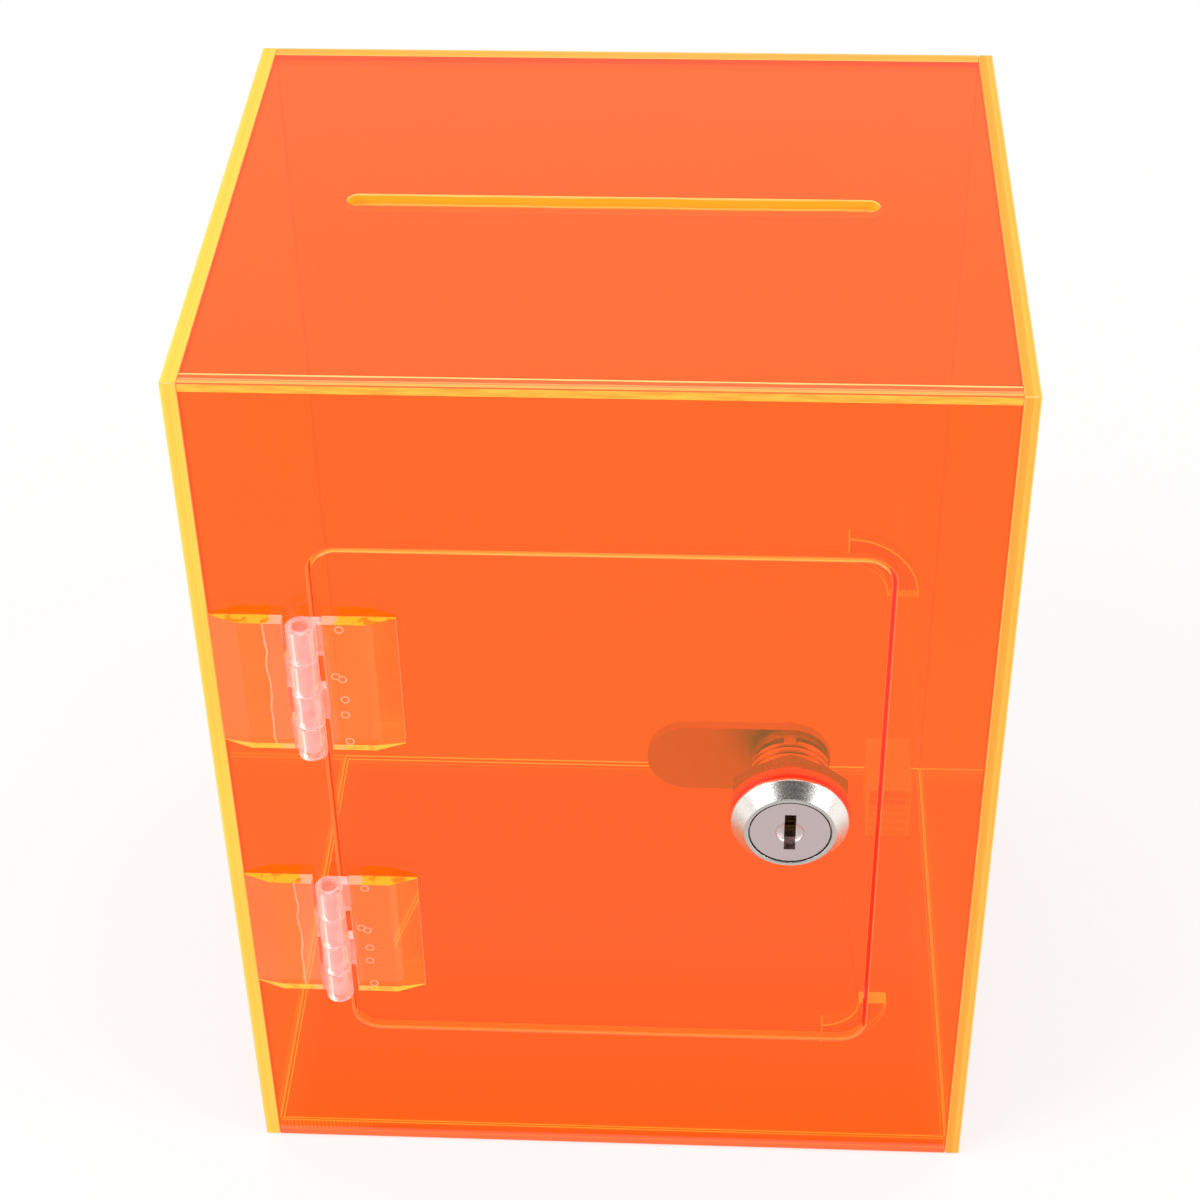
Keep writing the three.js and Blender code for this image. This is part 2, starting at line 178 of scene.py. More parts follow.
def turned(name, centre, profile, sides):
    """A ring round Y: a circle is pulled through radius and depth points, and closes on its start."""
    bpy.ops.object.select_all(action="DESELECT")
    x, y, z = centre
    radius, depth = profile[0]
    bpy.ops.mesh.primitive_circle_add(
        vertices=sides, radius=radius, location=(x, y + depth, z), rotation=(math.pi / 2, 0, 0))
    piece = named(name)
    open_mesh(piece)
    for next_radius, next_depth in profile[1:] + profile[:1]:
        bpy.ops.mesh.extrude_region_move(TRANSFORM_OT_translate={"value": (0, next_depth - depth, 0)})
        grow = next_radius / radius
        bpy.ops.transform.resize(value=(grow, 1, grow), center_override=(x, y + next_depth, z))
        radius, depth = next_radius, next_depth
    bpy.ops.mesh.select_all(action="SELECT")
    bpy.ops.mesh.remove_doubles(threshold=WELD)
    bpy.ops.mesh.normals_make_consistent(inside=False)
    bpy.ops.object.mode_set(mode="OBJECT")
    return piece


def shaped(piece, tool, operation):
    """Joins a tool to a piece, or cuts it away, and removes the tool."""
    select_only(piece)
    bpy.ops.object.modifier_add(type="BOOLEAN")
    change = piece.modifiers[-1]
    change.operation, change.object, change.solver = operation, tool, "EXACT"
    bpy.ops.object.modifier_apply(modifier=change.name)
    if not piece.data.polygons:
        raise RuntimeError(f"nothing is left of {piece.name}")
    bpy.data.objects.remove(tool)
    return piece


def joined(piece, other, material):
    """Makes another piece, in its own material, part of a piece."""
    other.data.materials.append(material)
    select_only(piece)
    other.select_set(True)
    bpy.ops.object.join()


def eased(piece, width, segments=2, material=-1, angle=40, marked=False, smooth=None):
    """Rounds a piece's sharp edges, or only the marked ones, and shades it smooth up to an angle."""
    select_only(piece)
    bpy.ops.object.modifier_add(type="BEVEL")
    bevel = piece.modifiers[-1]
    bevel.width, bevel.segments, bevel.material = width, segments, material
    bevel.limit_method, bevel.angle_limit = "WEIGHT" if marked else "ANGLE", math.radians(angle)
    bpy.ops.object.modifier_apply(modifier=bevel.name)
    smoothed(piece, smooth or angle)


def smoothed(piece, angle):
    """Shades a piece smooth up to its sharp edges, with its large faces kept flat."""
    select_only(piece)
    bpy.ops.object.shade_smooth_by_angle(angle=math.radians(angle))
    bpy.ops.object.modifier_add(type="WEIGHTED_NORMAL")
    weigh = piece.modifiers[-1]
    weigh.keep_sharp, weigh.weight = True, 100
    bpy.ops.object.modifier_apply(modifier=weigh.name)


def mark_corners(piece, skip, behind):
    """Marks a piece's corners for easing, but for those behind a depth or beside the skipped material."""
    mesh = piece.data
    beside = {}
    for part in mesh.polygons:
        for key in part.edge_keys:
            beside.setdefault(key, []).append(part)
    marks = mesh.attributes.new("bevel_weight_edge", "FLOAT", "EDGE")
    for edge in mesh.edges:
        parts = beside[edge.key]
        sharp = parts[0].normal.dot(parts[-1].normal) < CORNER_COSINE
        seen = min(mesh.vertices[v].co.y for v in edge.vertices) < behind
        kept = all(part.material_index != skip for part in parts)
        marks.data[edge.index].value = float(sharp and seen and kept)


def merged_copy(node, name):
    """A copy of a CAD node's mesh with its corners merged and its flat faces made whole."""
    mesh = frame["nodes"][node].data.copy()
    mesh.name = name
    mesh.materials.clear()
    piece = bpy.data.objects.new(name, mesh)
    bpy.context.collection.objects.link(piece)
    open_mesh(piece)
    bpy.ops.mesh.customdata_custom_splitnormals_clear()
    bpy.ops.mesh.remove_doubles(threshold=WELD)
    bpy.ops.mesh.dissolve_limited(angle_limit=math.radians(0.5))
    bpy.ops.object.mode_set(mode="OBJECT")
    return piece


def finished(piece, node, slot, *materials):
    """Puts a piece on its CAD node's body in the node's stead."""
    if materials:
        piece.data.materials.clear()
        for material in materials:
            piece.data.materials.append(material)
    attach(piece, frame["nodes"][node]["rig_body"])
    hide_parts(node)


def add_node(tree, kind, values=None, links=None, **settings):
    """Adds a node with its settings, its input values and the outputs that feed it.

    An input is given by its name, or by its number where several share a name.
    """
    node = tree.nodes.new(kind)
    for key, value in settings.items():
        setattr(node, key, value)
    for key, value in (values or {}).items():
        node.inputs[key].default_value = value
    for key, output in (links or {}).items():
        tree.links.new(output, node.inputs[key])
    return node


def new_material(name):
    """An empty node material, with its tree and its Object coordinates."""
    material = bpy.data.materials.get(name)
    if material:
        bpy.data.materials.remove(material)
    material = bpy.data.materials.new(name)
    material.use_nodes = True
    tree = material.node_tree
    tree.nodes.clear()
    place = add_node(tree, "ShaderNodeTexCoord").outputs["Object"]
    return material, tree, place


def surfaced(material, shader):
    """A material with its shader put on its surface."""
    add_node(material.node_tree, "ShaderNodeOutputMaterial", links={"Surface": shader.outputs[0]})
    return material


def per_metre(millimetres):
    """A texture scale whose cells are that many millimetres wide."""
    return 1 / (millimetres * MM)


# Cast acrylic with fluorescent orange dye, factory polished: clear, so that the far walls show through it,
# with the dye's own light inside, red where a fitting traps it, and a few specks of dust on it, drawn as
# coarse as they need to show.
def cast_acrylic(name, share=1.0, fitting=None, added_glow="#000000"):
    """The sheet's polished faces; share and haze change their glow, and fitting is the lock's middle."""
    settings = bpy.context.scene.money_box_sheets
    material, tree, place = new_material(name)
    specks = add_node(tree, "ShaderNodeTexVoronoi", {"Scale": per_metre(17)}, {"Vector": place})
    near = add_node(
        tree, "ShaderNodeMapRange", {"From Min": 0.009, "From Max": 0.016, "To Min": 1, "To Max": 0},
        {"Value": specks.outputs["Distance"]})
    few = add_node(tree, "ShaderNodeSeparateColor", links={"Color": specks.outputs["Color"]})
    some = add_node(tree, "ShaderNodeMath", {1: 0.55}, {0: few.outputs[0]}, operation="GREATER_THAN")
    dust = add_node(
        tree, "ShaderNodeMath", links={0: near.outputs[0], 1: some.outputs[0]}, operation="MULTIPLY")
    glow = [share * settings.strength * c + h for c, h in zip(settings.glow[:3], linear(added_glow))] + [1]
    light = add_node(
        tree, "ShaderNodeMix", {"A": glow, "B": linear("#7c593f")}, {"Factor": dust.outputs[0]},
        data_type="RGBA")
    if fitting:
        flat = add_node(
            tree, "ShaderNodeVectorMath", {1: (1, 0, 1), 2: (-fitting.x, 0, -fitting.z)}, {0: place},
            operation="MULTIPLY_ADD")
        off = add_node(tree, "ShaderNodeVectorMath", links={0: flat.outputs[0]}, operation="LENGTH")
        trapped = add_node(
            tree, "ShaderNodeMapRange",
            {"From Min": 11.7 * MM, "From Max": 12.4 * MM, "To Min": 1, "To Max": 0},
            {"Value": off.outputs["Value"]})
        height = add_node(tree, "ShaderNodeSeparateXYZ", links={"Vector": flat.outputs[0]})
        above = add_node(
            tree, "ShaderNodeMapRange", {"From Min": -2 * MM, "From Max": 5 * MM, "To Min": 0, "To Max": 1},
            {"Value": height.outputs["Z"]})
        halo = add_node(
            tree, "ShaderNodeMath", links={0: trapped.outputs[0], 1: above.outputs[0]}, operation="MULTIPLY")
        light = add_node(
            tree, "ShaderNodeMix", {"B": linear("#e72c19")},
            {"Factor": halo.outputs[0], "A": light.outputs["Result"]}, data_type="RGBA")
    shader = add_node(
        tree, "ShaderNodeBsdfPrincipled",
        {"Base Color": settings.body, "Roughness": 0.0, "IOR": ACRYLIC_IOR, "Transmission Weight": 1.0,
         "Emission Strength": 1.0}, {"Emission Color": light.outputs["Result"]})
    return surfaced(material, shader)


# The same acrylic where it was cut: the light trapped in the sheet leaves here, so the edge glows yellow in
# bands that run along it, one for each way the light comes out.
def cut_acrylic(name, axis, start, bands):
    """The sheet's cut edges; bands lists their colours from the inner face, at start, to the outer one."""
    material, tree, place = new_material(name)
    spot = add_node(tree, "ShaderNodeSeparateXYZ", links={"Vector": place})
    size = add_node(tree, "ShaderNodeMath", links={0: spot.outputs[axis]}, operation="ABSOLUTE")
    stray = 0.5 * MM
    inner = start + stray / 2
    wander = add_node(tree, "ShaderNodeTexNoise", {"Scale": per_metre(14), "Detail": 2.0}, {"Vector": place})
    shifted = add_node(
        tree, "ShaderNodeMath", {1: stray}, {0: wander.outputs[0], 2: size.outputs[0]},
        operation="MULTIPLY_ADD")
    across = add_node(
        tree, "ShaderNodeMapRange", {"From Min": inner, "From Max": inner + SHEET, "To Min": 0, "To Max": 1},
        {"Value": shifted.outputs[0]})
    ramp = add_node(tree, "ShaderNodeValToRGB", links={"Fac": across.outputs[0]})
    while len(ramp.color_ramp.elements) < len(bands):
        ramp.color_ramp.elements.new(0.5)
    for element, (position, hex_colour) in zip(ramp.color_ramp.elements, bands):
        element.position, element.color = position, linear(hex_colour)
    shader = add_node(
        tree, "ShaderNodeBsdfPrincipled",
        {"Roughness": 0.45, "IOR": ACRYLIC_IOR, "Specular IOR Level": 0.25,
         "Emission Color": linear("#ff4a24"), "Emission Strength": 0.75}, {"Base Color": ramp.outputs[0]})
    return surfaced(material, shader)


# The left side's edge bands are yellower and brighter than the right side's: painted light, for the light
# that falls from the left.
LEFT_BANDS = (
    (0, "#ffd87a"), (0.08, "#ffcb4c"), (0.3, "#ffc440"), (0.36, "#ffd052"), (0.42, "#ffc23e"),
    (0.8, "#ffc846"), (1, "#ffd670"))
RIGHT_BANDS = (
    (0, "#ffc070"), (0.1, "#ff9a26"), (0.5, "#ffa02e"), (0.6, "#ffb440"), (0.85, "#ffaa36"), (1, "#ffbc58"))
BACK_BANDS = ((0, "#ff9c3c"), (0.2, "#ffa83c"), (0.6, "#ffa236"), (1, "#ffbc60"))
RIM_BANDS = (
    (0, "#ffc878"), (0.13, "#ffc878"), (0.17, "#e8582a"), (0.48, "#ee5e2e"), (0.53, "#f8a468"),
    (0.6, "#e08a4c"), (0.66, "#c8783a"), (0.72, "#f4b060"), (0.84, "#d89a48"), (0.9, "#ffbc50"),
    (1, "#ffb840"))
AMBER_BANDS = (
    (0, "#ffd86c"), (0.02, "#ff9440"), (0.14, "#ff9440"), (0.18, "#ffe476"), (0.26, "#ffe476"),
    (0.33, "#ffbc16"), (0.6, "#ffc224"), (0.84, "#ffbc16"), (0.92, "#ffe886"), (1, "#ffe886"))
WALL_BANDS = ((0, "#ffa048"), (1, "#ffac54"))


# Where the top sheet's edge is cemented behind the front, its light comes out through the front's face.
def joint_acrylic():
    """The strip of the front's face over the joint with the top sheet."""
    material, tree, place = new_material("cast_acrylic_over_joint")
    stretched = add_node(tree, "ShaderNodeMapping", {"Scale": (0.12, 1, 1)}, {"Vector": place})
    streaks = add_node(
        tree, "ShaderNodeTexNoise", {"Scale": per_metre(0.8), "Detail": 3.0},
        {"Vector": stretched.outputs[0]})
    tone = add_node(
        tree, "ShaderNodeMapRange", {"From Min": 0.35, "From Max": 0.65, "To Min": 0, "To Max": 1},
        {"Value": streaks.outputs[0]})
    colour = add_node(
        tree, "ShaderNodeMix", {"A": linear("#f39a22"), "B": linear("#ffbc38")}, {"Factor": tone.outputs[0]},
        data_type="RGBA")
    shader = add_node(
        tree, "ShaderNodeBsdfPrincipled",
        {"Roughness": 0.05, "IOR": ACRYLIC_IOR, "Emission Color": linear("#ff4a24"),
         "Emission Strength": 0.75}, {"Base Color": colour.outputs["Result"]})
    return surfaced(material, shader)


# A cut edge deep in a narrow gap gets no light: it shows the red of the long way through the sheet.
def gap_acrylic():
    """The upright cut edges in the door gap: red at the right, amber before red at the left."""
    material, tree, place = new_material("cut_acrylic_in_gap")
    streaks = add_node(
        tree, "ShaderNodeTexNoise", {"Scale": per_metre(1.5), "Detail": 2.0}, {"Vector": place})
    red = add_node(
        tree, "ShaderNodeMix", {"A": linear("#ff2c18"), "B": linear("#f03a20")},
        {"Factor": streaks.outputs[0]}, data_type="RGBA")
    spot = add_node(tree, "ShaderNodeSeparateXYZ", links={"Vector": place})
    high = add_node(
        tree, "ShaderNodeMapRange", {"From Min": 92 * MM, "From Max": 130 * MM, "To Min": 0, "To Max": 1},
        {"Value": spot.outputs["Z"]})
    right = add_node(
        tree, "ShaderNodeMix", {"B": linear("#e83c34")},
        {"Factor": high.outputs[0], "A": red.outputs["Result"]}, data_type="RGBA")
    deep = add_node(
        tree, "ShaderNodeMapRange",
        {"From Min": -58.7 * MM, "From Max": -58.4 * MM, "To Min": 0, "To Max": 1},
        {"Value": spot.outputs["Y"]})
    left = add_node(
        tree, "ShaderNodeMix", {"A": linear("#ff8038"), "B": linear("#d83414")}, {"Factor": deep.outputs[0]},
        data_type="RGBA")
    rightward = add_node(tree, "ShaderNodeMath", {1: 0.0}, {0: spot.outputs["X"]}, operation="GREATER_THAN")
    light = add_node(
        tree, "ShaderNodeMix",
        links={"Factor": rightward.outputs[0], "A": left.outputs["Result"], "B": right.outputs["Result"]},
        data_type="RGBA")
    shader = add_node(
        tree, "ShaderNodeBsdfPrincipled",
        {"Base Color": linear("#902018"), "Roughness": 0.3, "IOR": ACRYLIC_IOR, "Emission Strength": 0.85},
        {"Emission Color": light.outputs["Result"]})
    return surfaced(material, shader)


# An edge wetted with solvent cement no longer glows yellow: it is drawn with a dull red painted glow. Where
# it was sawn, the strokes show as light and dark ticks in that glow, drawn coarser than a saw leaves them so
# that they show.
def glued_acrylic(name, strokes_along, pitch, sawn, sawn_beyond):
    """The edges of the orange sheet that are cemented or sawn; the ticks fade from the left to the right."""
    material, tree, place = new_material(name)
    strokes = add_node(
        tree, "ShaderNodeTexWave",
        {"Scale": per_metre(STROKE_CELL * pitch), "Distortion": 1.2, "Detail": 2.0, "Detail Scale": 2.0},
        {"Vector": place}, bands_direction=strokes_along)
    side = add_node(tree, "ShaderNodeSeparateXYZ", links={"Vector": place})
    patch = add_node(
        tree, "ShaderNodeMapRange",
        {"From Min": -60 * MM, "From Max": -50 * MM, "To Min": sawn, "To Max": sawn_beyond},
        {"Value": side.outputs["X"]})
    tone = add_node(
        tree, "ShaderNodeMath", links={0: strokes.outputs["Fac"], 1: patch.outputs[0]}, operation="MULTIPLY")
    light = add_node(
        tree, "ShaderNodeMix", {"A": linear("#f8381c"), "B": linear("#ffd8c0")}, {"Factor": tone.outputs[0]},
        data_type="RGBA")
    shader = add_node(
        tree, "ShaderNodeBsdfPrincipled",
        {"Base Color": linear("#c0381a"), "Roughness": 0.4, "IOR": ACRYLIC_IOR, "Emission Strength": 0.9},
        {"Emission Color": light.outputs["Result"]})
    return surfaced(material, shader)


# A face left as the saw cut it: clear, with pale strokes across it.
def sawn_acrylic():
    """The front of the block that the cam locks behind."""
    settings = bpy.context.scene.money_box_sheets
    material, tree, place = new_material("sawn_acrylic_face")
    pitch = 1
    strokes = add_node(
        tree, "ShaderNodeTexWave",
        {"Scale": per_metre(STROKE_CELL * pitch), "Distortion": 1.5, "Detail": 2.0, "Detail Scale": 2.0},
        {"Vector": place}, bands_direction="Z")
    line = add_node(
        tree, "ShaderNodeMapRange", {"From Min": 0.6, "From Max": 1, "To Min": 0, "To Max": 0.2},
        {"Value": strokes.outputs["Fac"]})
    glow = [settings.strength * c for c in settings.glow[:3]] + [1]
    light = add_node(
        tree, "ShaderNodeMix", {"A": glow, "B": linear("#ffe8c8")}, {"Factor": line.outputs[0]},
        data_type="RGBA")
    shader = add_node(
        tree, "ShaderNodeBsdfPrincipled",
        {"Base Color": settings.body, "Roughness": 0.1, "IOR": ACRYLIC_IOR, "Transmission Weight": 1.0,
         "Emission Strength": 1.0}, {"Emission Color": light.outputs["Result"]})
    return surfaced(material, shader)


# The eased corner between face and edge: a narrow bright line, a painted highlight drawn as a glow. Where
# cement has run along it, it shows as two painted highlights, of which the lower fades towards the right.
def arris_acrylic(name, base, low_tone, high_tone, strength, run=None):
    """The sheet's eased corners; run is the height of the cement's middle and half of its clear part."""
    material, tree, place = new_material(name)
    nicks = add_node(tree, "ShaderNodeTexNoise", {"Scale": per_metre(2.2), "Detail": 2.0}, {"Vector": place})
    colour = add_node(
        tree, "ShaderNodeMix", {"A": linear(low_tone), "B": linear(high_tone)}, {"Factor": nicks.outputs[0]},
        data_type="RGBA")
    shader = add_node(
        tree, "ShaderNodeBsdfPrincipled",
        {"Base Color": linear(base), "Roughness": 0.15, "IOR": ACRYLIC_IOR, "Emission Strength": strength},
        {"Emission Color": colour.outputs["Result"]})
    if run:
        height = add_node(tree, "ShaderNodeSeparateXYZ", links={"Vector": place})
        off = add_node(tree, "ShaderNodeMath", {1: run[0]}, {0: height.outputs["Z"]}, operation="SUBTRACT")
        away = add_node(tree, "ShaderNodeMath", links={0: off.outputs[0]}, operation="ABSOLUTE")
        line = add_node(
            tree, "ShaderNodeMapRange",
            {"From Min": run[1] - 0.05 * MM, "From Max": run[1] + 0.05 * MM, "To Min": 0, "To Max": 1},
            {"Value": away.outputs[0]})
        lower = add_node(tree, "ShaderNodeMath", {1: 0.0}, {0: off.outputs[0]}, operation="LESS_THAN")
        faded = add_node(
            tree, "ShaderNodeMapRange",
            {"From Min": 10 * MM, "From Max": 50 * MM, "To Min": 0, "To Max": 0.7},
            {"Value": height.outputs["X"]})
        less = add_node(
            tree, "ShaderNodeMath", links={0: lower.outputs[0], 1: faded.outputs[0]}, operation="MULTIPLY")
        share = add_node(tree, "ShaderNodeMath", {0: 1.0}, {1: less.outputs[0]}, operation="SUBTRACT")
        line = add_node(
            tree, "ShaderNodeMath", links={0: line.outputs[0], 1: share.outputs[0]}, operation="MULTIPLY")
        clear = [c / strength for c in linear("#ed6f31")[:3]] + [1]
        parted = add_node(
            tree, "ShaderNodeMix", {"A": clear}, {"Factor": line.outputs[0], "B": colour.outputs["Result"]},
            data_type="RGBA")
        tree.links.new(parted.outputs["Result"], shader.inputs["Emission Color"])
    return surfaced(material, shader)


# Injection-moulded clear acrylic: glossy and without colour, with some of the sheet's light in it.
def moulded_acrylic():
    """The clear hinge leaves."""
    material, tree, place = new_material("moulded_clear_acrylic")
    flow = add_node(tree, "ShaderNodeTexNoise", {"Scale": per_metre(9), "Detail": 1.0}, {"Vector": place})
    light = add_node(
        tree, "ShaderNodeMix", {"A": linear("#ffb030"), "B": linear("#ffd060")}, {"Factor": flow.outputs[0]},
        data_type="RGBA")
    shader = add_node(
        tree, "ShaderNodeBsdfPrincipled",
        {"Base Color": linear("#fffaf6"), "Roughness": 0.02, "IOR": ACRYLIC_IOR, "Transmission Weight": 1.0,
         "Emission Strength": 0.09}, {"Emission Color": light.outputs["Result"]})
    return surfaced(material, shader)


# The leaf's sawn ends pick up the glow of the sheet behind them and show yellow, chipped in places.
def leaf_end_acrylic(name, axis, glow, strength):
    """The top or bottom ends of the hinge leaves, paler towards the hinge's axis."""
    material, tree, place = new_material(name)
    chips = add_node(tree, "ShaderNodeTexNoise", {"Scale": per_metre(2.4), "Detail": 3.0}, {"Vector": place})
    tone = add_node(
        tree, "ShaderNodeMapRange", {"From Min": 0.52, "From Max": 0.6, "To Min": 0.0, "To Max": 1.0},
        {"Value": chips.outputs[0]})
    yellow = add_node(
        tree, "ShaderNodeMix", {"A": linear("#ffb930"), "B": linear("#f8781e")}, {"Factor": tone.outputs[0]},
        data_type="RGBA")
    spot = add_node(tree, "ShaderNodeSeparateXYZ", links={"Vector": place})
    off = add_node(tree, "ShaderNodeMath", {1: axis.x}, {0: spot.outputs["X"]}, operation="SUBTRACT")
    away = add_node(tree, "ShaderNodeMath", links={0: off.outputs[0]}, operation="ABSOLUTE")
    ragged = add_node(
        tree, "ShaderNodeMath", {1: 5 * MM}, {0: chips.outputs[0], 2: away.outputs[0]},
        operation="MULTIPLY_ADD")
    pale = add_node(
        tree, "ShaderNodeMapRange", {"From Min": 8.2 * MM, "From Max": 9.0 * MM, "To Min": 1, "To Max": 0},
        {"Value": ragged.outputs[0]})
    colour = add_node(
        tree, "ShaderNodeMix", {"B": linear("#ffb4a0")},
        {"Factor": pale.outputs[0], "A": yellow.outputs["Result"]}, data_type="RGBA")
    shader = add_node(
        tree, "ShaderNodeBsdfPrincipled",
        {"Roughness": 0.25, "IOR": ACRYLIC_IOR, "Emission Color": linear(glow),
         "Emission Strength": strength}, {"Base Color": colour.outputs["Result"]})
    return surfaced(material, shader)


# The same moulding round the pin: clear, a little milky from the flow, with a faint pink painted glow that
# stands for the pin's pink inside it.
def knuckle_acrylic():
    """The knuckles of the hinge leaves."""
    material, tree, place = new_material("moulded_acrylic_knuckle")
    flow = add_node(tree, "ShaderNodeTexNoise", {"Scale": per_metre(2.5), "Detail": 2.0}, {"Vector": place})
    milk = add_node(
        tree, "ShaderNodeMapRange", {"From Min": 0.3, "From Max": 0.7, "To Min": 0.97, "To Max": 0.8},
        {"Value": flow.outputs[0]})
    shader = add_node(
        tree, "ShaderNodeBsdfPrincipled",
        {"Base Color": linear("#fff0ee"), "Roughness": 0.05, "IOR": ACRYLIC_IOR,
         "Emission Color": linear("#ff9a90"), "Emission Strength": 0.12},
        {"Transmission Weight": milk.outputs[0]})
    return surfaced(material, shader)


# Where the mould parts, between the knuckles, the leaf is matt and pale pink, with a pink painted glow.
def butt_acrylic():
    """The inner ends of the hinge leaves."""
    material, tree, place = new_material("moulded_acrylic_butt")
    cloud = add_node(tree, "ShaderNodeTexNoise", {"Scale": per_metre(1.5), "Detail": 2.0}, {"Vector": place})
    colour = add_node(
        tree, "ShaderNodeMix", {"A": linear("#ff9c86"), "B": linear("#ffb8a6")},
        {"Factor": cloud.outputs[0]}, data_type="RGBA")
    shader = add_node(
        tree, "ShaderNodeBsdfPrincipled",
        {"Roughness": 0.6, "IOR": ACRYLIC_IOR, "Specular IOR Level": 0.2,
         "Emission Color": linear("#ff7a5a"), "Emission Strength": 0.5},
        {"Base Color": colour.outputs["Result"]})
    return surfaced(material, shader)


# Cement under a leaf: clear where it wets both faces, pinkish where it stayed dry, with rings where air was
# caught. The dry strip's border on the frame's leaf and the rings on the door's leaf are drawn as painted
# bright lines.
def cement_film(name, axis, side):
    """The back of a hinge leaf; side is -1 for the frame's leaf and 1 for the door's."""
    material, tree, place = new_material(f"cement_film_{name}")
    local = add_node(
        tree, "ShaderNodeMapping", {"Location": [-c for c in axis]}, {"Vector": place}).outputs[0]
    flat = add_node(tree, "ShaderNodeMapping", {"Scale": (1, 0, 1)}, {"Vector": local}).outputs[0]
    plane = add_node(tree, "ShaderNodeSeparateXYZ", links={"Vector": local})
    edge = add_node(tree, "ShaderNodeTexNoise", {"Scale": per_metre(6), "Detail": 1.5}, {"Vector": flat})
    reach = add_node(
        tree, "ShaderNodeMath", {1: 2.4 * MM, 2: -1.2 * MM}, {0: edge.outputs[0]}, operation="MULTIPLY_ADD")
    outward = add_node(tree, "ShaderNodeMath", {1: side}, {0: plane.outputs["X"]}, operation="MULTIPLY")
    wavy = add_node(
        tree, "ShaderNodeMath", links={0: outward.outputs[0], 1: reach.outputs[0]}, operation="ADD")
    wet_from = 7.2 * MM if side < 0 else 4.4 * MM
    strip = add_node(
        tree, "ShaderNodeMapRange",
        {"From Min": wet_from - 0.1 * MM, "From Max": wet_from + 0.1 * MM, "To Min": 0.55, "To Max": 0},
        {"Value": wavy.outputs[0]})
    border_off = add_node(tree, "ShaderNodeMath", {1: wet_from}, {0: wavy.outputs[0]}, operation="SUBTRACT")
    border_away = add_node(tree, "ShaderNodeMath", links={0: border_off.outputs[0]}, operation="ABSOLUTE")
    border = add_node(
        tree, "ShaderNodeMapRange",
        {"From Min": 0.12 * MM, "From Max": 0.2 * MM, "To Min": 1 if side < 0 else 0, "To Max": 0},
        {"Value": border_away.outputs[0]})
    spread = add_node(tree, "ShaderNodeCombineXYZ", links={"X": plane.outputs["X"], "Y": plane.outputs["Z"]})
    bubbles = add_node(
        tree, "ShaderNodeTexVoronoi", {"Scale": per_metre(3.1), "Randomness": 0.7},
        {"Vector": spread.outputs[0]}, voronoi_dimensions="2D")
    ring_off = add_node(
        tree, "ShaderNodeMath", {1: 0.24}, {0: bubbles.outputs["Distance"]}, operation="SUBTRACT")
    ring_away = add_node(tree, "ShaderNodeMath", links={0: ring_off.outputs[0]}, operation="ABSOLUTE")
    ring = add_node(
        tree, "ShaderNodeMapRange", {"From Min": 0.03, "From Max": 0.06, "To Min": 1, "To Max": 0},
        {"Value": ring_away.outputs[0]})
    cell = add_node(tree, "ShaderNodeSeparateXYZ", links={"Vector": bubbles.outputs["Position"]})
    column_off = add_node(
        tree, "ShaderNodeMath", {1: 6.2 * MM}, {0: cell.outputs["X"]}, operation="SUBTRACT")
    column = add_node(tree, "ShaderNodeMath", links={0: column_off.outputs[0]}, operation="ABSOLUTE")
    near = add_node(
        tree, "ShaderNodeMath", {1: 1.1 * MM if side > 0 else 0}, {0: column.outputs[0]},
        operation="LESS_THAN")
    caught = add_node(
        tree, "ShaderNodeMath", links={0: ring.outputs[0], 1: near.outputs[0]}, operation="MULTIPLY")
    line = add_node(
        tree, "ShaderNodeMath", links={0: border.outputs[0], 1: caught.outputs[0]}, operation="MAXIMUM")
    bare = add_node(
        tree, "ShaderNodeBsdfPrincipled",
        {"Base Color": linear("#ffe8e0"), "Roughness": 0.04, "IOR": ACRYLIC_IOR, "Transmission Weight": 0.95,
         "Emission Color": linear("#ff9a6a"), "Emission Strength": 0.03})
    wet = add_node(
        tree, "ShaderNodeBsdfPrincipled",
        {"Base Color": linear("#ffe888"), "Roughness": 0.0, "IOR": ACRYLIC_IOR, "Transmission Weight": 1.0,
         "Specular Tint": linear("#000000")})
    film = add_node(
        tree, "ShaderNodeMixShader", links={"Fac": strip.outputs[0], 1: wet.outputs[0], 2: bare.outputs[0]})
    caught_light = add_node(tree, "ShaderNodeEmission", {"Color": linear("#ffc0a4"), "Strength": 0.9})
    share = add_node(tree, "ShaderNodeMath", {1: 0.75}, {0: line.outputs[0]}, operation="MULTIPLY")
    shader = add_node(
        tree, "ShaderNodeMixShader",
        links={"Fac": share.outputs[0], 1: film.outputs[0], 2: caught_light.outputs[0]})
    return surfaced(material, shader)


# Translucent nylon rod: milky, pink from the sheet's light inside it.
def pin_nylon():
    """The hinge pins."""
    material, tree, place = new_material("nylon_rod_translucent")
    cloud = add_node(tree, "ShaderNodeTexNoise", {"Scale": per_metre(2), "Detail": 2.0}, {"Vector": place})
    colour = add_node(
        tree, "ShaderNodeMix", {"A": linear("#ff8478"), "B": linear("#ff9c90")},
        {"Factor": cloud.outputs[0]}, data_type="RGBA")
    shader = add_node(
        tree, "ShaderNodeBsdfPrincipled",
        {"Roughness": 0.35, "IOR": 1.53, "Emission Color": linear("#ff7a66"), "Emission Strength": 0.25},
        {"Base Color": colour.outputs["Result"]})
    return surfaced(material, shader)


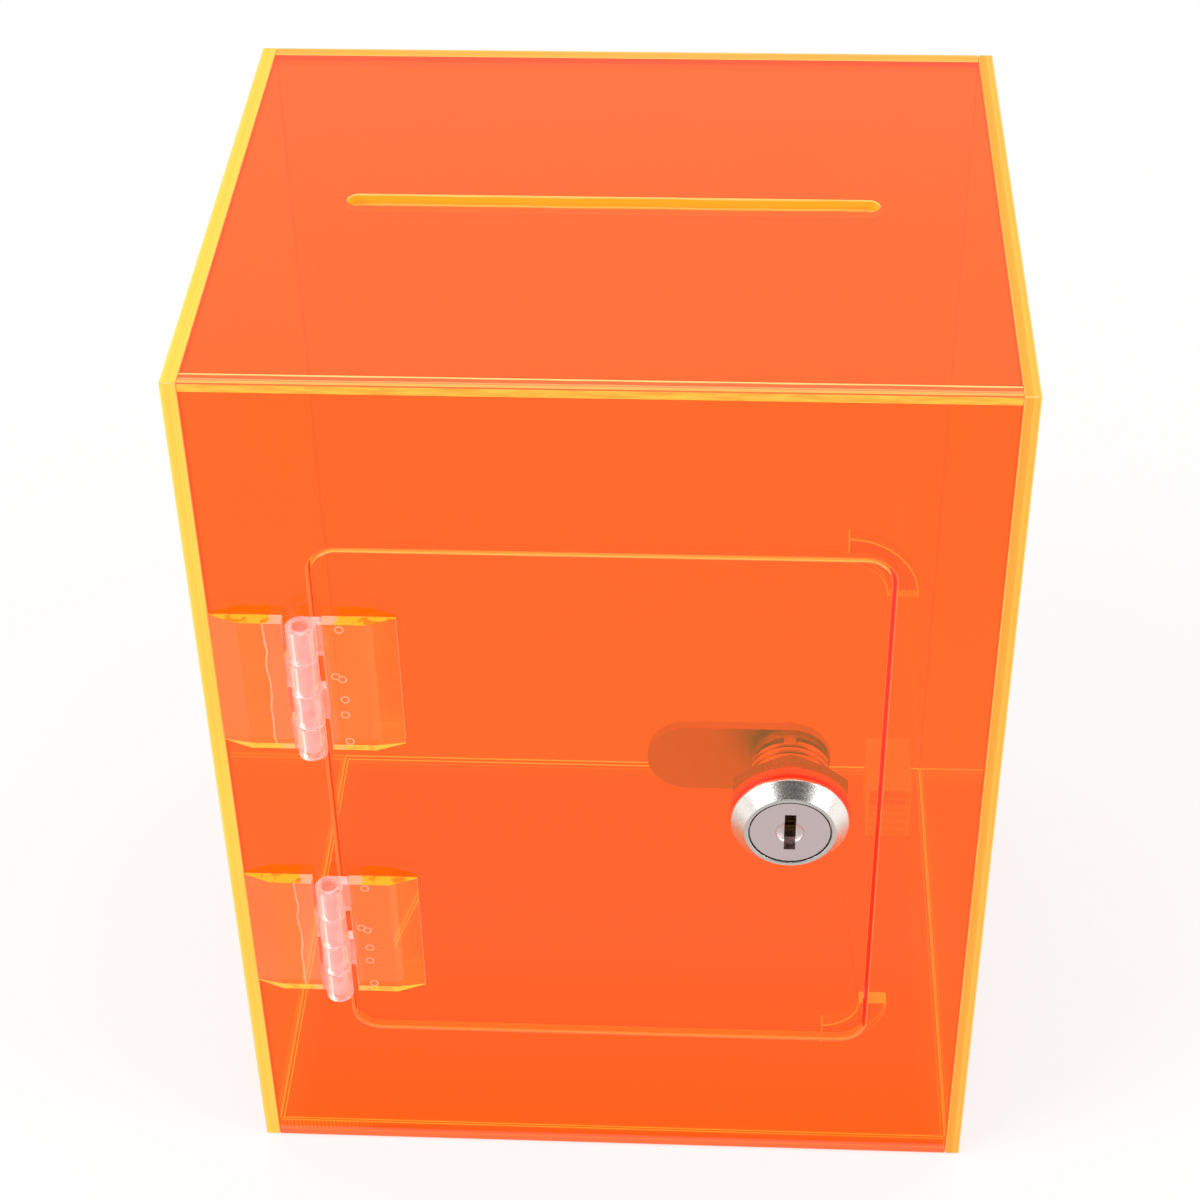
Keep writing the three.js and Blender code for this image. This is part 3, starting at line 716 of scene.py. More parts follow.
# Satin nickel plate on a die casting: bright and pale, with the casting's fine grain under it, drawn coarse
# enough to show.
def satin_nickel(name, plate):
    """The lock's bezel and its nut."""
    material, tree, place = new_material(name)
    grain = add_node(
        tree, "ShaderNodeTexNoise", {"Scale": per_metre(0.35), "Detail": 3.0, "Roughness": 0.65},
        {"Vector": place})
    rough = add_node(
        tree, "ShaderNodeMapRange", {"From Min": 0.3, "From Max": 0.7, "To Min": 0.2, "To Max": 0.36},
        {"Value": grain.outputs[0]})
    bump = add_node(
        tree, "ShaderNodeBump", {"Strength": 0.35, "Distance": 0.04 * MM}, {"Height": grain.outputs[0]})
    shader = add_node(
        tree, "ShaderNodeBsdfPrincipled", {"Base Color": plate, "Metallic": 1.0},
        {"Roughness": rough.outputs[0], "Normal": bump.outputs[0]})
    return surfaced(material, shader)


# The thread is drawn darker in its roots than on its crests.
def threaded_nickel(centre):
    """The lock's barrel."""
    material, tree, place = new_material("nickel_plated_thread")
    flat = add_node(
        tree, "ShaderNodeVectorMath", {1: (1, 0, 1), 2: (-centre[0], 0, -centre[2])}, {0: place},
        operation="MULTIPLY_ADD")
    off = add_node(tree, "ShaderNodeVectorMath", links={0: flat.outputs[0]}, operation="LENGTH")
    crest = add_node(
        tree, "ShaderNodeMapRange", {"From Min": 7.65 * MM, "From Max": 8.15 * MM, "To Min": 0, "To Max": 1},
        {"Value": off.outputs["Value"]})
    colour = add_node(
        tree, "ShaderNodeMix", {"A": linear("#6a4034"), "B": linear("#f4d8c8")},
        {"Factor": crest.outputs[0]}, data_type="RGBA")
    shader = add_node(
        tree, "ShaderNodeBsdfPrincipled", {"Metallic": 1.0, "Roughness": 0.32},
        {"Base Color": colour.outputs["Result"]})
    return surfaced(material, shader)


# The plug's face is lapped flat before plating: an even grey with the finest grain.
def lapped_nickel():
    """The lock's plug."""
    material, tree, place = new_material("lapped_nickel_plate")
    grain = add_node(
        tree, "ShaderNodeTexNoise", {"Scale": per_metre(0.25), "Detail": 2.0}, {"Vector": place})
    rough = add_node(
        tree, "ShaderNodeMapRange", {"From Min": 0.3, "From Max": 0.7, "To Min": 0.26, "To Max": 0.34},
        {"Value": grain.outputs[0]})
    shader = add_node(
        tree, "ShaderNodeBsdfPrincipled", {"Base Color": linear("#f7e3e2"), "Metallic": 1.0},
        {"Roughness": rough.outputs[0]})
    return surfaced(material, shader)


# Zinc plated steel stamping: duller and greyer than the nickel, with a mottled passivated skin.
def zinc_plate():
    """The cam, stop washer and cam screw."""
    material, tree, place = new_material("zinc_plated_steel")
    mottle = add_node(
        tree, "ShaderNodeTexNoise", {"Scale": per_metre(1.6), "Detail": 4.0, "Roughness": 0.6},
        {"Vector": place})
    colour = add_node(
        tree, "ShaderNodeMix", {"A": linear("#cfaea4"), "B": linear("#e2c6bc")},
        {"Factor": mottle.outputs[0]}, data_type="RGBA")
    rough = add_node(
        tree, "ShaderNodeMapRange", {"From Min": 0.3, "From Max": 0.7, "To Min": 0.34, "To Max": 0.5},
        {"Value": mottle.outputs[0]})
    shader = add_node(
        tree, "ShaderNodeBsdfPrincipled", {"Metallic": 1.0},
        {"Base Color": colour.outputs["Result"], "Roughness": rough.outputs[0]})
    return surfaced(material, shader)


# Spring steel, drawn to wire or rolled to strip: dark and bright.
def spring_steel(name):
    """The wafer springs and the spring washer."""
    material, tree, place = new_material(name)
    draw = add_node(tree, "ShaderNodeTexNoise", {"Scale": per_metre(0.3), "Detail": 2.0}, {"Vector": place})
    rough = add_node(
        tree, "ShaderNodeMapRange", {"From Min": 0.3, "From Max": 0.7, "To Min": 0.22, "To Max": 0.38},
        {"Value": draw.outputs[0]})
    shader = add_node(
        tree, "ShaderNodeBsdfPrincipled", {"Base Color": linear("#8d8f92"), "Metallic": 1.0},
        {"Roughness": rough.outputs[0]})
    return surfaced(material, shader)


# Stamped brass, dulled by handling.
def stamped_brass():
    """The lock's wafers."""
    material, tree, place = new_material("stamped_brass")
    tarnish = add_node(
        tree, "ShaderNodeTexNoise", {"Scale": per_metre(0.8), "Detail": 3.0}, {"Vector": place})
    colour = add_node(
        tree, "ShaderNodeMix", {"A": linear("#8a6a3c"), "B": linear("#b89a5c")},
        {"Factor": tarnish.outputs[0]}, data_type="RGBA")
    shader = add_node(
        tree, "ShaderNodeBsdfPrincipled", {"Metallic": 1.0, "Roughness": 0.38},
        {"Base Color": colour.outputs["Result"]})
    return surfaced(material, shader)


# Each sheet's piece, its thin axis, and its ends that are cemented to a neighbour.
SHEETS = {
    "left_side_panel": ("left_side_sheet", 0, ()),
    "right_side_panel": ("right_side_sheet", 0, ()),
    "back_panel": ("back_sheet", 1, ("-x", "+x")),
    "bottom_panel": ("bottom_sheet", 2, ("-x", "+x", "-y", "+y")),
    "top_panel": ("top_sheet", 2, ("-x", "+x", "-y", "+y")),
    "front_panel": ("front_sheet", 1, ("-x", "+x")),
    "door_panel": ("door_sheet", 1, ()),
    "upper_door_stop": ("upper_stop", 1, ()),
    "lower_door_stop": ("lower_stop", 1, ()),
    "strike_block": ("strike_piece", 1, ()),
}
INSIDE = ("bottom_panel", "upper_door_stop", "lower_door_stop", "strike_block")
DOOR_PLANE = ("front_panel", "door_panel")

# The inner faces of the sheets, from the middle of the box and from the floor.
SIDE_INSIDE, FRONT_INSIDE, TOP_INSIDE = 72 * MM, 57 * MM, 197 * MM
# The front's face is parted here, over its joints with the top and bottom sheets.
JOINT_ABOVE, JOINT_BELOW = 198.2 * MM, 3 * MM
# How nearly a face looks along an axis to be a sheet's face, an upright edge or a level end.
FLAT, UPRIGHT, LEVEL = 0.97, 0.93, 0.999
LOCK_HOLE = 10 * MM
NEAR = 0.01 * MM
WIDER_ARRIS = 1.1


def taper_opening(piece):
    """Slants the sides of the door opening, the right more than the left, so that its back is narrower."""
    width, slant, fixed = 106 * MM, 0.9 * MM, -17.67 * MM
    beside, low, high = 54 * MM, 30 * MM, 170 * MM
    rear = max(v.co.y for v in piece.data.vertices) - WELD
    open_mesh(piece)
    bpy.ops.mesh.select_mode(type="VERT")
    bpy.ops.mesh.select_all(action="DESELECT")
    bpy.ops.object.mode_set(mode="OBJECT")
    for corner in piece.data.vertices:
        x, y, z = corner.co
        corner.select = y > rear and abs(x) < beside and low < z < high
    bpy.ops.object.mode_set(mode="EDIT")
    bpy.ops.transform.resize(value=(1 - slant / width, 1, 1), center_override=(fixed, 0, 0))
    bpy.ops.object.mode_set(mode="OBJECT")


def strip_over_joint(piece):
    """Parts the front's face along the joints with the top and bottom sheets."""
    for height in (JOINT_ABOVE, JOINT_BELOW):
        open_mesh(piece)
        bpy.ops.mesh.bisect(plane_co=(0, 0, height), plane_no=(0, 0, 1))
    bpy.ops.object.mode_set(mode="OBJECT")


def cement_bead(low, high):
    """The bead of cement round the top of the bottom sheet, sloped from the walls to the sheet."""
    leg, lift = 0.8 * MM, 0.005 * MM
    start = Vector((low.x, low.y, high.z + lift))
    end = Vector((high.x, high.y, high.z + leg))
    bead = block("cement_bead", start, end)
    tool = block("bead_tool", start + Vector((leg, leg, -lift)), end + Vector((-leg, -leg, lift)))
    for corner in tool.data.vertices:
        if corner.co.z > end.z:
            corner.co.x += math.copysign(leg, corner.co.x)
            corner.co.y += math.copysign(leg, corner.co.y)
    return shaped(bead, tool, "DIFFERENCE")


def cemented(part, ends):
    """Whether a face lies at one of the ends that are cemented, each an axis and a corner of the sheet."""
    return any(
        abs(part.normal[axis]) > FLAT and abs(part.center[axis] - corner[axis]) < NEAR
        for axis, corner in ends)


def sheet_finish(node, part, thin, ends, lock):
    """Which of the sheets' finishes a face has."""
    ahead = part.normal.y < 0
    if abs(part.normal[thin]) > FLAT:
        if node == "front_panel" and ahead and part.center.z > JOINT_ABOVE:
            return JOINT
        if node == "front_panel" and ahead and part.center.z < JOINT_BELOW:
            return PALE_GLOW
        return SAWN if node == "strike_block" and ahead else FACE
    if cemented(part, ends):
        return GLUED
    if node in DOOR_PLANE and (abs(part.normal.x) > UPRIGHT or (part.center - lock).length < LOCK_HOLE):
        return GAP
    if node == "front_panel" and part.center.z < JOINT_ABOVE:
        return WALL
    return TOP if node in INSIDE and abs(part.normal.z) > LEVEL else CUT


class MONEYBOX_OT_sheets(bpy.types.Operator):
    """Makes the acrylic sheets, the door, its stops and the block that the cam locks behind"""

    bl_idname = "money_box.sheets"
    bl_label = "Acrylic sheets"

    def execute(self, context):
        settings = context.scene.money_box_sheets
        lock = sum(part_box("lock_fixing_nut"), Vector()) / 2
        face = cast_acrylic("cast_acrylic_orange")
        faces = {
            # The left side glows more strongly than the other sheets: painted light, for the light that falls
            # from the left.
            "left_side_panel": cast_acrylic("cast_acrylic_left_side", 1.4),
            "door_panel": cast_acrylic("cast_acrylic_round_lock", 1.0, lock),
        }
        # Over its joint with the bottom sheet, the front's face gets a whiter glow added to its own: painted
        # light.
        paler_glow = cast_acrylic("cast_acrylic_over_bottom", added_glow="#003c3f")
        amber = cut_acrylic("cut_acrylic_slot_edge", 2, TOP_INSIDE, AMBER_BANDS)
        wall = cut_acrylic("cut_acrylic_opening", 1, FRONT_INSIDE, WALL_BANDS)
        cuts = {
            "left_side_panel": cut_acrylic("cut_acrylic_left_edge", 0, SIDE_INSIDE, LEFT_BANDS),
            "right_side_panel": cut_acrylic("cut_acrylic_right_edge", 0, SIDE_INSIDE, RIGHT_BANDS),
            "back_panel": cut_acrylic("cut_acrylic_back_edge", 1, FRONT_INSIDE, BACK_BANDS),
            "front_panel": cut_acrylic("cut_acrylic_front_edge", 1, FRONT_INSIDE, RIM_BANDS),
            "strike_block": glued_acrylic("sawn_acrylic_block", "Z", 0.8, 0.8, 0.8),
        }
        glued = glued_acrylic("cemented_acrylic_edge", "X", 1.2, 0.0, 0.0)
        sawn = {"bottom_panel": glued_acrylic("cemented_sawn_edge", "X", 0.42, 1.0, 0.15)}
        gap, joint, hatched = gap_acrylic(), joint_acrylic(), sawn_acrylic()
        # The stops' level ends and the block's top are drawn with the glowing corner material: a bright
        # painted highlight on the stops' ends and a paler painted glow on the block's top.
        stop_end = arris_acrylic("sawn_acrylic_stop_end", "#a04018", "#ffb48c", "#fffbee", 1.5)
        block_top = arris_acrylic("sawn_acrylic_block_top", "#a04018", "#ff9070", "#ffb898", 0.95)
        tops = {"strike_block": block_top}
        pale = arris_acrylic("eased_corner_of_edge", "#ffb860", "#ffa058", "#ff8040", 0.55)
        coral = arris_acrylic("eased_corner_of_door", "#903412", "#ff7844", "#ff8650", 0.8)
        # Inside the box the corners of the bottom sheet and the stops, and the cement bead, get bluish-white
        # painted highlights where they catch the light.
        inner = arris_acrylic("eased_corner_inside", "#a04018", "#e6fff0", "#d0ecd8", 1.2)
        faint = arris_acrylic("eased_corner_of_block", "#a04018", "#ffe8d0", "#ffd8b8", 0.6)
        corners = {**dict.fromkeys(DOOR_PLANE, coral), **dict.fromkeys(INSIDE, inner), "strike_block": faint}
        lines = (3.4 * MM, 0.2 * MM)
        bead = arris_acrylic("solvent_cement_bead", "#802810", "#e6fff0", "#d0ecd8", 1.7, lines)
        for node, (name, thin, end_names) in SHEETS.items():
            piece = merged_copy(node, name)
            low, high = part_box(node)
            ends = [("xyz".index(end[1]), high if end[0] == "+" else low) for end in end_names]
            for material in (
                    faces.get(node, face), cuts.get(node, amber), sawn.get(node, glued),
                    corners.get(node, pale), gap, joint, wall, tops.get(node, stop_end), hatched, paler_glow):
                piece.data.materials.append(material)
            if node == "front_panel":
                taper_opening(piece)
                strip_over_joint(piece)
            for part in piece.data.polygons:
                part.material_index = sheet_finish(node, part, thin, ends, lock)
            hidden = high.y - WELD if node in DOOR_PLANE else high.y + WELD
            mark_corners(piece, ARRIS if node in INSIDE else GLUED, hidden)
            width = settings.arris * (WIDER_ARRIS if node in DOOR_PLANE else 1)
            eased(piece, width, segments=1, material=ARRIS, marked=True)
            if node == "bottom_panel":
                joined(piece, cement_bead(low, high), bead)
            finished(piece, node, "orange_acrylic")
        return {"FINISHED"}


# The hinge leaf, from its axis: a plate whose outer end slopes to a thin tip, and knuckles on webs.
LEAF_HEIGHT = 31 * MM
LEAF_FRONT, LEAF_BACK = 0.5 * MM, 3.0 * MM
LEAF_INNER, LEAF_OUTER = 3.65 * MM, 17.2 * MM
SLOPE, TIP = 5.4 * MM, 0.4 * MM
KNUCKLE_PITCH, KNUCKLE_GAP, KNUCKLE_RADIUS = 7.825 * MM, 0.3 * MM, 2.785 * MM
WEB_LAP, WEB_BACK = 0.85 * MM, 2.72 * MM
PIN_HOLE, PIN_EASE = 1.5 * MM, 0.2 * MM
LEAF_SLACK = 0.1 * MM
ALONG = 0.9


def hinge_leaf(name, axis, turn_over, settings):
    """One leaf round its hinge axis: a plate with a sloped end, and two knuckles on webs."""
    x, y, z = axis
    foot = z - LEAF_HEIGHT / 2
    front, rear = y + LEAF_FRONT, y + LEAF_BACK
    inner, outer = x - LEAF_INNER, x - LEAF_OUTER
    piece = block(name, (outer, front, foot), (inner, rear, foot + LEAF_HEIGHT))
    open_mesh(piece)
    bpy.ops.mesh.bisect(plane_co=(outer + SLOPE, y, z), plane_no=(1, 0, 0))
    bpy.ops.object.mode_set(mode="OBJECT")
    for corner in piece.data.vertices:
        if corner.co.x < outer + WELD and corner.co.y < front + WELD:
            corner.co.y = rear - TIP
    tall = KNUCKLE_PITCH - KNUCKLE_GAP
    for bottom in (foot, foot + 2 * KNUCKLE_PITCH):
        knuckle = rod("knuckle", (x, y, bottom + tall / 2), KNUCKLE_RADIUS, tall, settings.sides)
        web = block("web", (inner - WEB_LAP, front, bottom), (x, y + WEB_BACK, bottom + tall))
        shaped(knuckle, web, "UNION")
        shaped(piece, knuckle, "UNION")
    shaped(piece, rod("hole", axis, PIN_HOLE, 2 * LEAF_HEIGHT, settings.sides), "DIFFERENCE")
    if turn_over:
        open_mesh(piece)
        bpy.ops.transform.rotate(value=math.pi, orient_axis="Y", center_override=axis)
        bpy.ops.object.mode_set(mode="OBJECT")
    return piece


def leaf_finish(part, axis):
    """Which of the leaves' finishes a face has."""
    away = abs(part.center.x - axis.x)
    at_end = abs(away - LEAF_INNER) < LEAF_SLACK or away > LEAF_OUTER - LEAF_SLACK
    if abs(part.normal.x) > ALONG and at_end:
        return BUTT
    if away < LEAF_INNER + LEAF_SLACK:
        return KNUCKLE
    if abs(part.normal.z) > ALONG:
        return END if part.normal.z > 0 else FOOT
    return FILM if part.normal.y > ALONG else PLASTIC


class MONEYBOX_OT_hinges(bpy.types.Operator):
    """Makes the hinge leaves, with their knuckles, and the pins"""

    bl_idname = "money_box.hinges"
    bl_label = "Hinges"

    def execute(self, context):
        settings = context.scene.money_box_hinges
        plastic, knuckle, butt, nylon = moulded_acrylic(), knuckle_acrylic(), butt_acrylic(), pin_nylon()
        middle = sum(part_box("upper_hinge_pin"), Vector()) / 2
        end = leaf_end_acrylic("moulded_acrylic_end", middle, "#ff7a1e", 0.5)
        foot = leaf_end_acrylic("moulded_acrylic_lower_end", middle, "#ffac30", 0.8)
        for place in ("upper", "lower"):
            low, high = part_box(f"{place}_hinge_pin")
            axis = (low + high) / 2
            for side in ("frame", "door"):
                piece = hinge_leaf(f"{place}_{side}_leaf", axis, side == "door", settings)
                film = cement_film(f"{place}_{side}", axis, 1 if side == "door" else -1)
                for material in (plastic, end, film, knuckle, butt, foot):
                    piece.data.materials.append(material)
                for part in piece.data.polygons:
                    part.material_index = leaf_finish(part, axis)
                eased(piece, settings.rounding, angle=20, smooth=35)
                finished(piece, f"{place}_hinge_{side}_leaf", "clear_acrylic")
            pin = rod(f"{place}_pin", axis, high.x - axis.x, high.z - low.z, settings.sides)
            eased(pin, PIN_EASE)
            finished(pin, f"{place}_hinge_pin", "pin_plastic", nylon)
        return {"FINISHED"}


# The bezel's profile: radius, and depth behind the door's face, in millimetres.
BEZEL = (
    (8.0, -0.6), (8.0, -3.4), (8.04, -3.54), (8.12, -3.6), (8.74, -3.6), (8.84, -3.54), (8.9, -3.42),
    (11.15, -1.0), (11.32, -0.85), (11.4, -0.65), (11.4, -0.12), (11.3, -0.02), (5.7, -0.02), (5.7, -0.6))
# The blank that takes the nut's corners off: radius, and depth behind the nut's face, in millimetres.
NUT_BLANK = ((8.5, -0.1), (11.0, -0.1), (11.0, 0.01), (13.0, 1.1))
NUT_EASE, PLUG_EASE, STAMPING_EASE = 0.12 * MM, 0.1 * MM, 0.18 * MM
# The barrel: its bore and crests, its flats, the wafers' grooves and the notch for the stop washer's tab.
BORE, CREST, FLAT_HALF = 5.7 * MM, 8.2 * MM, 7.4 * MM
BARREL_LAP, THREAD_START = 0.3 * MM, 3.2 * MM
GROOVE_REACH, GROOVE_HALF = 6.25 * MM, 2.35 * MM
GROOVE_FRONT, GROOVE_BACK = 0.85 * MM, 12.35 * MM
NOTCH_DEPTH, NOTCH_SIDE = 2.3 * MM, 1.4 * MM
PAST = 12 * MM


def barrel_profile(end, settings):
    """The barrel's points of radius and depth: its bore, and a thread on its outside."""
    root, pitch = CREST - settings.thread_depth, settings.thread
    profile = [(BORE, -BARREL_LAP), (root, -BARREL_LAP)]
    depth = THREAD_START
    while depth + pitch < end:
        profile += [(root, depth), (CREST, depth + 0.4 * pitch), (CREST, depth + 0.6 * pitch)]
        depth += pitch
    return profile + [(root, depth), (root, end), (BORE, end)]


class MONEYBOX_OT_lock_body(bpy.types.Operator):
    """Makes the lock's housing, with bezel and threaded barrel, and the nut behind the door"""

    bl_idname = "money_box.lock_body"
    bl_label = "Lock body"

    def execute(self, context):
        settings = context.scene.money_box_lock
        low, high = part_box("lock_housing")
        x, y, z = centre = ((low.x + high.x) / 2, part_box("door_panel")[0].y, (low.z + high.z) / 2)
        housing = turned("housing", centre, [(r * MM, d * MM) for r, d in BEZEL], settings.sides)
        housing.data.materials.append(satin_nickel("satin_nickel_plate", settings.plate))
        barrel = turned("barrel", centre, barrel_profile(high.y - y, settings), settings.sides)
        flats_low = (x - FLAT_HALF, low.y - PAST, z - PAST)
        flats_high = (x + FLAT_HALF, high.y + PAST, z + PAST)
        shaped(barrel, block("flats", flats_low, flats_high), "INTERSECT")
        for across, up in ((GROOVE_REACH, GROOVE_HALF), (GROOVE_HALF, GROOVE_REACH)):
            groove_low = (x - across, y + GROOVE_FRONT, z - up)
            groove_high = (x + across, y + GROOVE_BACK, z + up)
            shaped(barrel, block("groove", groove_low, groove_high), "DIFFERENCE")
        notch_low = (x - PAST, high.y - NOTCH_DEPTH, z - PAST)
        notch_high = (x + NOTCH_SIDE, high.y + PAST, z + PAST)
        shaped(barrel, block("notch", notch_low, notch_high), "DIFFERENCE")
        joined(housing, barrel, threaded_nickel(centre))
        smoothed(housing, angle=28)
        finished(housing, "lock_housing", "nickel_plate")

        low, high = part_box("lock_fixing_nut")
        middle, half = (low + high) / 2, (high.y - low.y) / 2
        nut = rod("fixing_nut", middle, (high.z - low.z) / 2, 2 * half, 6, "Y")
        ahead = [(r * MM, d * MM - half) for r, d in NUT_BLANK]
        behind = [(radius, -depth) for radius, depth in reversed(ahead)]
        shaped(nut, turned("blank", middle, ahead + behind, settings.sides), "INTERSECT")
        eased(nut, NUT_EASE, angle=25)
        # The nut gets a darker, pinker copy of the plate.
        dull = satin_nickel("darker_nickel_plate", linear("#b08c84"))
        finished(nut, "lock_fixing_nut", "nickel_plate", dull)
        return {"FINISHED"}


class MONEYBOX_OT_lock_plug(bpy.types.Operator):
    """Makes the lock's plug with the dish round its keyway, and finishes the wafers and springs in it"""

    bl_idname = "money_box.lock_plug"
    bl_label = "Lock plug"

    def execute(self, context):
        settings = context.scene.money_box_lock
        low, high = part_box("lock_plug")
        centre = ((low.x + high.x) / 2, low.y, (low.z + high.z) / 2)
        plug = merged_copy("lock_plug", "plug")
        dish = [(0.2 * MM, -1 * MM), (settings.dish, -1 * MM), (settings.dish, 0.08 * MM),
                (settings.dish - 0.35 * MM, 0.42 * MM), (1.2 * MM, 0.62 * MM), (0.2 * MM, 0.66 * MM)]
        tool = turned("dish", centre, dish, settings.sides)
        shaped(plug, tool, "DIFFERENCE")
        eased(plug, PLUG_EASE, angle=50)
        finished(plug, "lock_plug", "nickel_plate", lapped_nickel())
        brass, steel = stamped_brass(), spring_steel("drawn_spring_steel")
        for number in range(1, 6):
            for node, material in ((f"lock_wafer_{number}", brass), (f"wafer_spring_{number}", steel)):
                mesh = frame["nodes"][node].data
                mesh.materials.clear()
                mesh.materials.append(material)
        return {"FINISHED"}


class MONEYBOX_OT_cam(bpy.types.Operator):
    """Makes the cam, with the washers and screw that hold it on the plug"""

    bl_idname = "money_box.cam"
    bl_label = "Cam"

    def execute(self, context):
        zinc, steel = zinc_plate(), spring_steel("rolled_spring_steel")
        for node, name, slot, material in (
                ("lock_cam", "cam", "zinc_plate", zinc),
                ("lock_stop_washer", "stop_washer", "zinc_plate", zinc),
                ("cam_screw", "screw", "zinc_plate", zinc),
                ("cam_spring_washer", "spring_washer", "spring_steel", steel)):
            piece = merged_copy(node, name)
            eased(piece, STAMPING_EASE)
            finished(piece, node, slot, material)
        return {"FINISHED"}


# A pale paper floor: white to the eye, and shaded where the box stands. Through the acrylic and in
# reflections it shines as a lamp: white through the acrylic except for painted orange light under the box; in
# reflections orange round the box, dimmer, least bright far ahead of it and brighter far to its sides.
def floor_paint(settings):
    """The floor and backdrop."""
    material, tree, place = new_material("pale_paper_floor")
    fibre = add_node(tree, "ShaderNodeTexNoise", {"Scale": per_metre(6), "Detail": 2.0}, {"Vector": place})
    rough = add_node(
        tree, "ShaderNodeMapRange", {"From Min": 0.3, "From Max": 0.7, "To Min": 0.85, "To Max": 0.95},
        {"Value": fibre.outputs[0]})
    paper = add_node(
        tree, "ShaderNodeBsdfPrincipled", {"Base Color": settings.floor, "Specular IOR Level": 0.1},
        {"Roughness": rough.outputs[0]})
    path = add_node(tree, "ShaderNodeLightPath")
    through = add_node(
        tree, "ShaderNodeMath",
        links={0: path.outputs["Is Transmission Ray"], 1: path.outputs["Is Glossy Ray"]},
        operation="MAXIMUM")
    distance = add_node(tree, "ShaderNodeVectorMath", links={0: place}, operation="LENGTH")
    paper_white = add_node(
        tree, "ShaderNodeMapRange", {"From Min": 0.16, "From Max": 0.5, "To Min": 0.72, "To Max": 1.0},
        {"Value": distance.outputs["Value"]})
    share = add_node(
        tree, "ShaderNodeMath", links={0: path.outputs["Is Camera Ray"], 1: paper_white.outputs[0]},
        operation="MULTIPLY")
    most = add_node(
        tree, "ShaderNodeMath", links={0: through.outputs[0], 1: share.outputs[0]}, operation="MAXIMUM")
    spot = add_node(tree, "ShaderNodeSeparateXYZ", links={"Vector": place})
    aside = add_node(tree, "ShaderNodeMath", links={0: spot.outputs["X"]}, operation="ABSOLUTE")
    away = add_node(tree, "ShaderNodeMath", links={0: spot.outputs["Y"]}, operation="ABSOLUTE")
    # Painted orange light: under the box, seen through the acrylic, and round it in reflections, the floor is
    # tinted orange.
    footprint = [
        add_node(
            tree, "ShaderNodeMapRange",
            {"From Min": start * MM, "From Max": end * MM, "To Min": 1, "To Max": 0},
            {"Value": size.outputs[0]})
        for size, start, end in ((aside, 66, 75.5), (away, 52, 60.5), (aside, 66, 110), (away, 55, 120))]
    under = add_node(
        tree, "ShaderNodeMath", links={0: footprint[0].outputs[0], 1: footprint[1].outputs[0]},
        operation="MULTIPLY")
    around = add_node(
        tree, "ShaderNodeMath", links={0: footprint[2].outputs[0], 1: footprint[3].outputs[0]},
        operation="MULTIPLY")
    mirrored = add_node(
        tree, "ShaderNodeMath",
        links={0: path.outputs["Is Glossy Ray"], 1: path.outputs["Is Transmission Ray"]},
        operation="SUBTRACT")
    tinted = add_node(
        tree, "ShaderNodeMix",
        links={"Factor": mirrored.outputs[0], "A": under.outputs[0], "B": around.outputs[0]})
    colour = add_node(
        tree, "ShaderNodeMix", {"A": linear("#ffffff"), "B": linear("#ff8a50")},
        {"Factor": tinted.outputs[0]}, data_type="RGBA")
    ahead = add_node(
        tree, "ShaderNodeMapRange",
        {"From Min": -100 * MM, "From Max": -72 * MM, "To Min": 0.58, "To Max": 0.75},
        {"Value": spot.outputs["Y"]})
    beside = add_node(
        tree, "ShaderNodeMapRange",
        {"From Min": 120 * MM, "From Max": 260 * MM, "To Min": 0.58, "To Max": 1.1},
        {"Value": aside.outputs[0]})
    level = add_node(
        tree, "ShaderNodeMath", links={0: ahead.outputs[0], 1: beside.outputs[0]}, operation="MAXIMUM")
    strength = add_node(
        tree, "ShaderNodeMix", {"A": 1.0}, {"Factor": mirrored.outputs[0], "B": level.outputs[0]})
    white = add_node(
        tree, "ShaderNodeEmission",
        links={"Color": colour.outputs["Result"], "Strength": strength.outputs[0]})
    shader = add_node(
        tree, "ShaderNodeMixShader",
        links={"Fac": most.outputs[0], 1: paper.outputs[0], 2: white.outputs[0]})
    return surfaced(material, shader)


def studio_world(settings):
    """White to the camera and through the acrylic; darker from the camera's side for what mirrors it."""
    world = bpy.data.worlds.new("studio")
    bpy.context.scene.world = world
    world.use_nodes = True
    tree = world.node_tree
    tree.nodes.clear()
    path = add_node(tree, "ShaderNodeLightPath")
    clear = add_node(
        tree, "ShaderNodeMath",
        links={0: path.outputs["Is Camera Ray"], 1: path.outputs["Is Transmission Ray"]},
        operation="MAXIMUM")
    direction = add_node(tree, "ShaderNodeTexCoord").outputs["Generated"]
    front = Vector((0.04, -0.66, 0.75)).normalized()
    facing = add_node(tree, "ShaderNodeVectorMath", {1: front}, {0: direction}, operation="DOT_PRODUCT")
    dark = add_node(
        tree, "ShaderNodeMapRange", {"From Min": 0.55, "From Max": 0.95, "To Min": 0.66, "To Max": 0.07},
        {"Value": facing.outputs["Value"]})
    mirrored = add_node(
        tree, "ShaderNodeMix", {"A": settings.light},
        {"Factor": path.outputs["Is Glossy Ray"], "B": dark.outputs[0]})
    strength = add_node(
        tree, "ShaderNodeMix", {"B": 1.0}, {"Factor": clear.outputs[0], "A": mirrored.outputs[0]})
    background = add_node(
        tree, "ShaderNodeBackground", {"Color": linear("#ffffff")}, {"Strength": strength.outputs[0]})
    add_node(tree, "ShaderNodeOutputWorld", links={"Surface": background.outputs[0]})


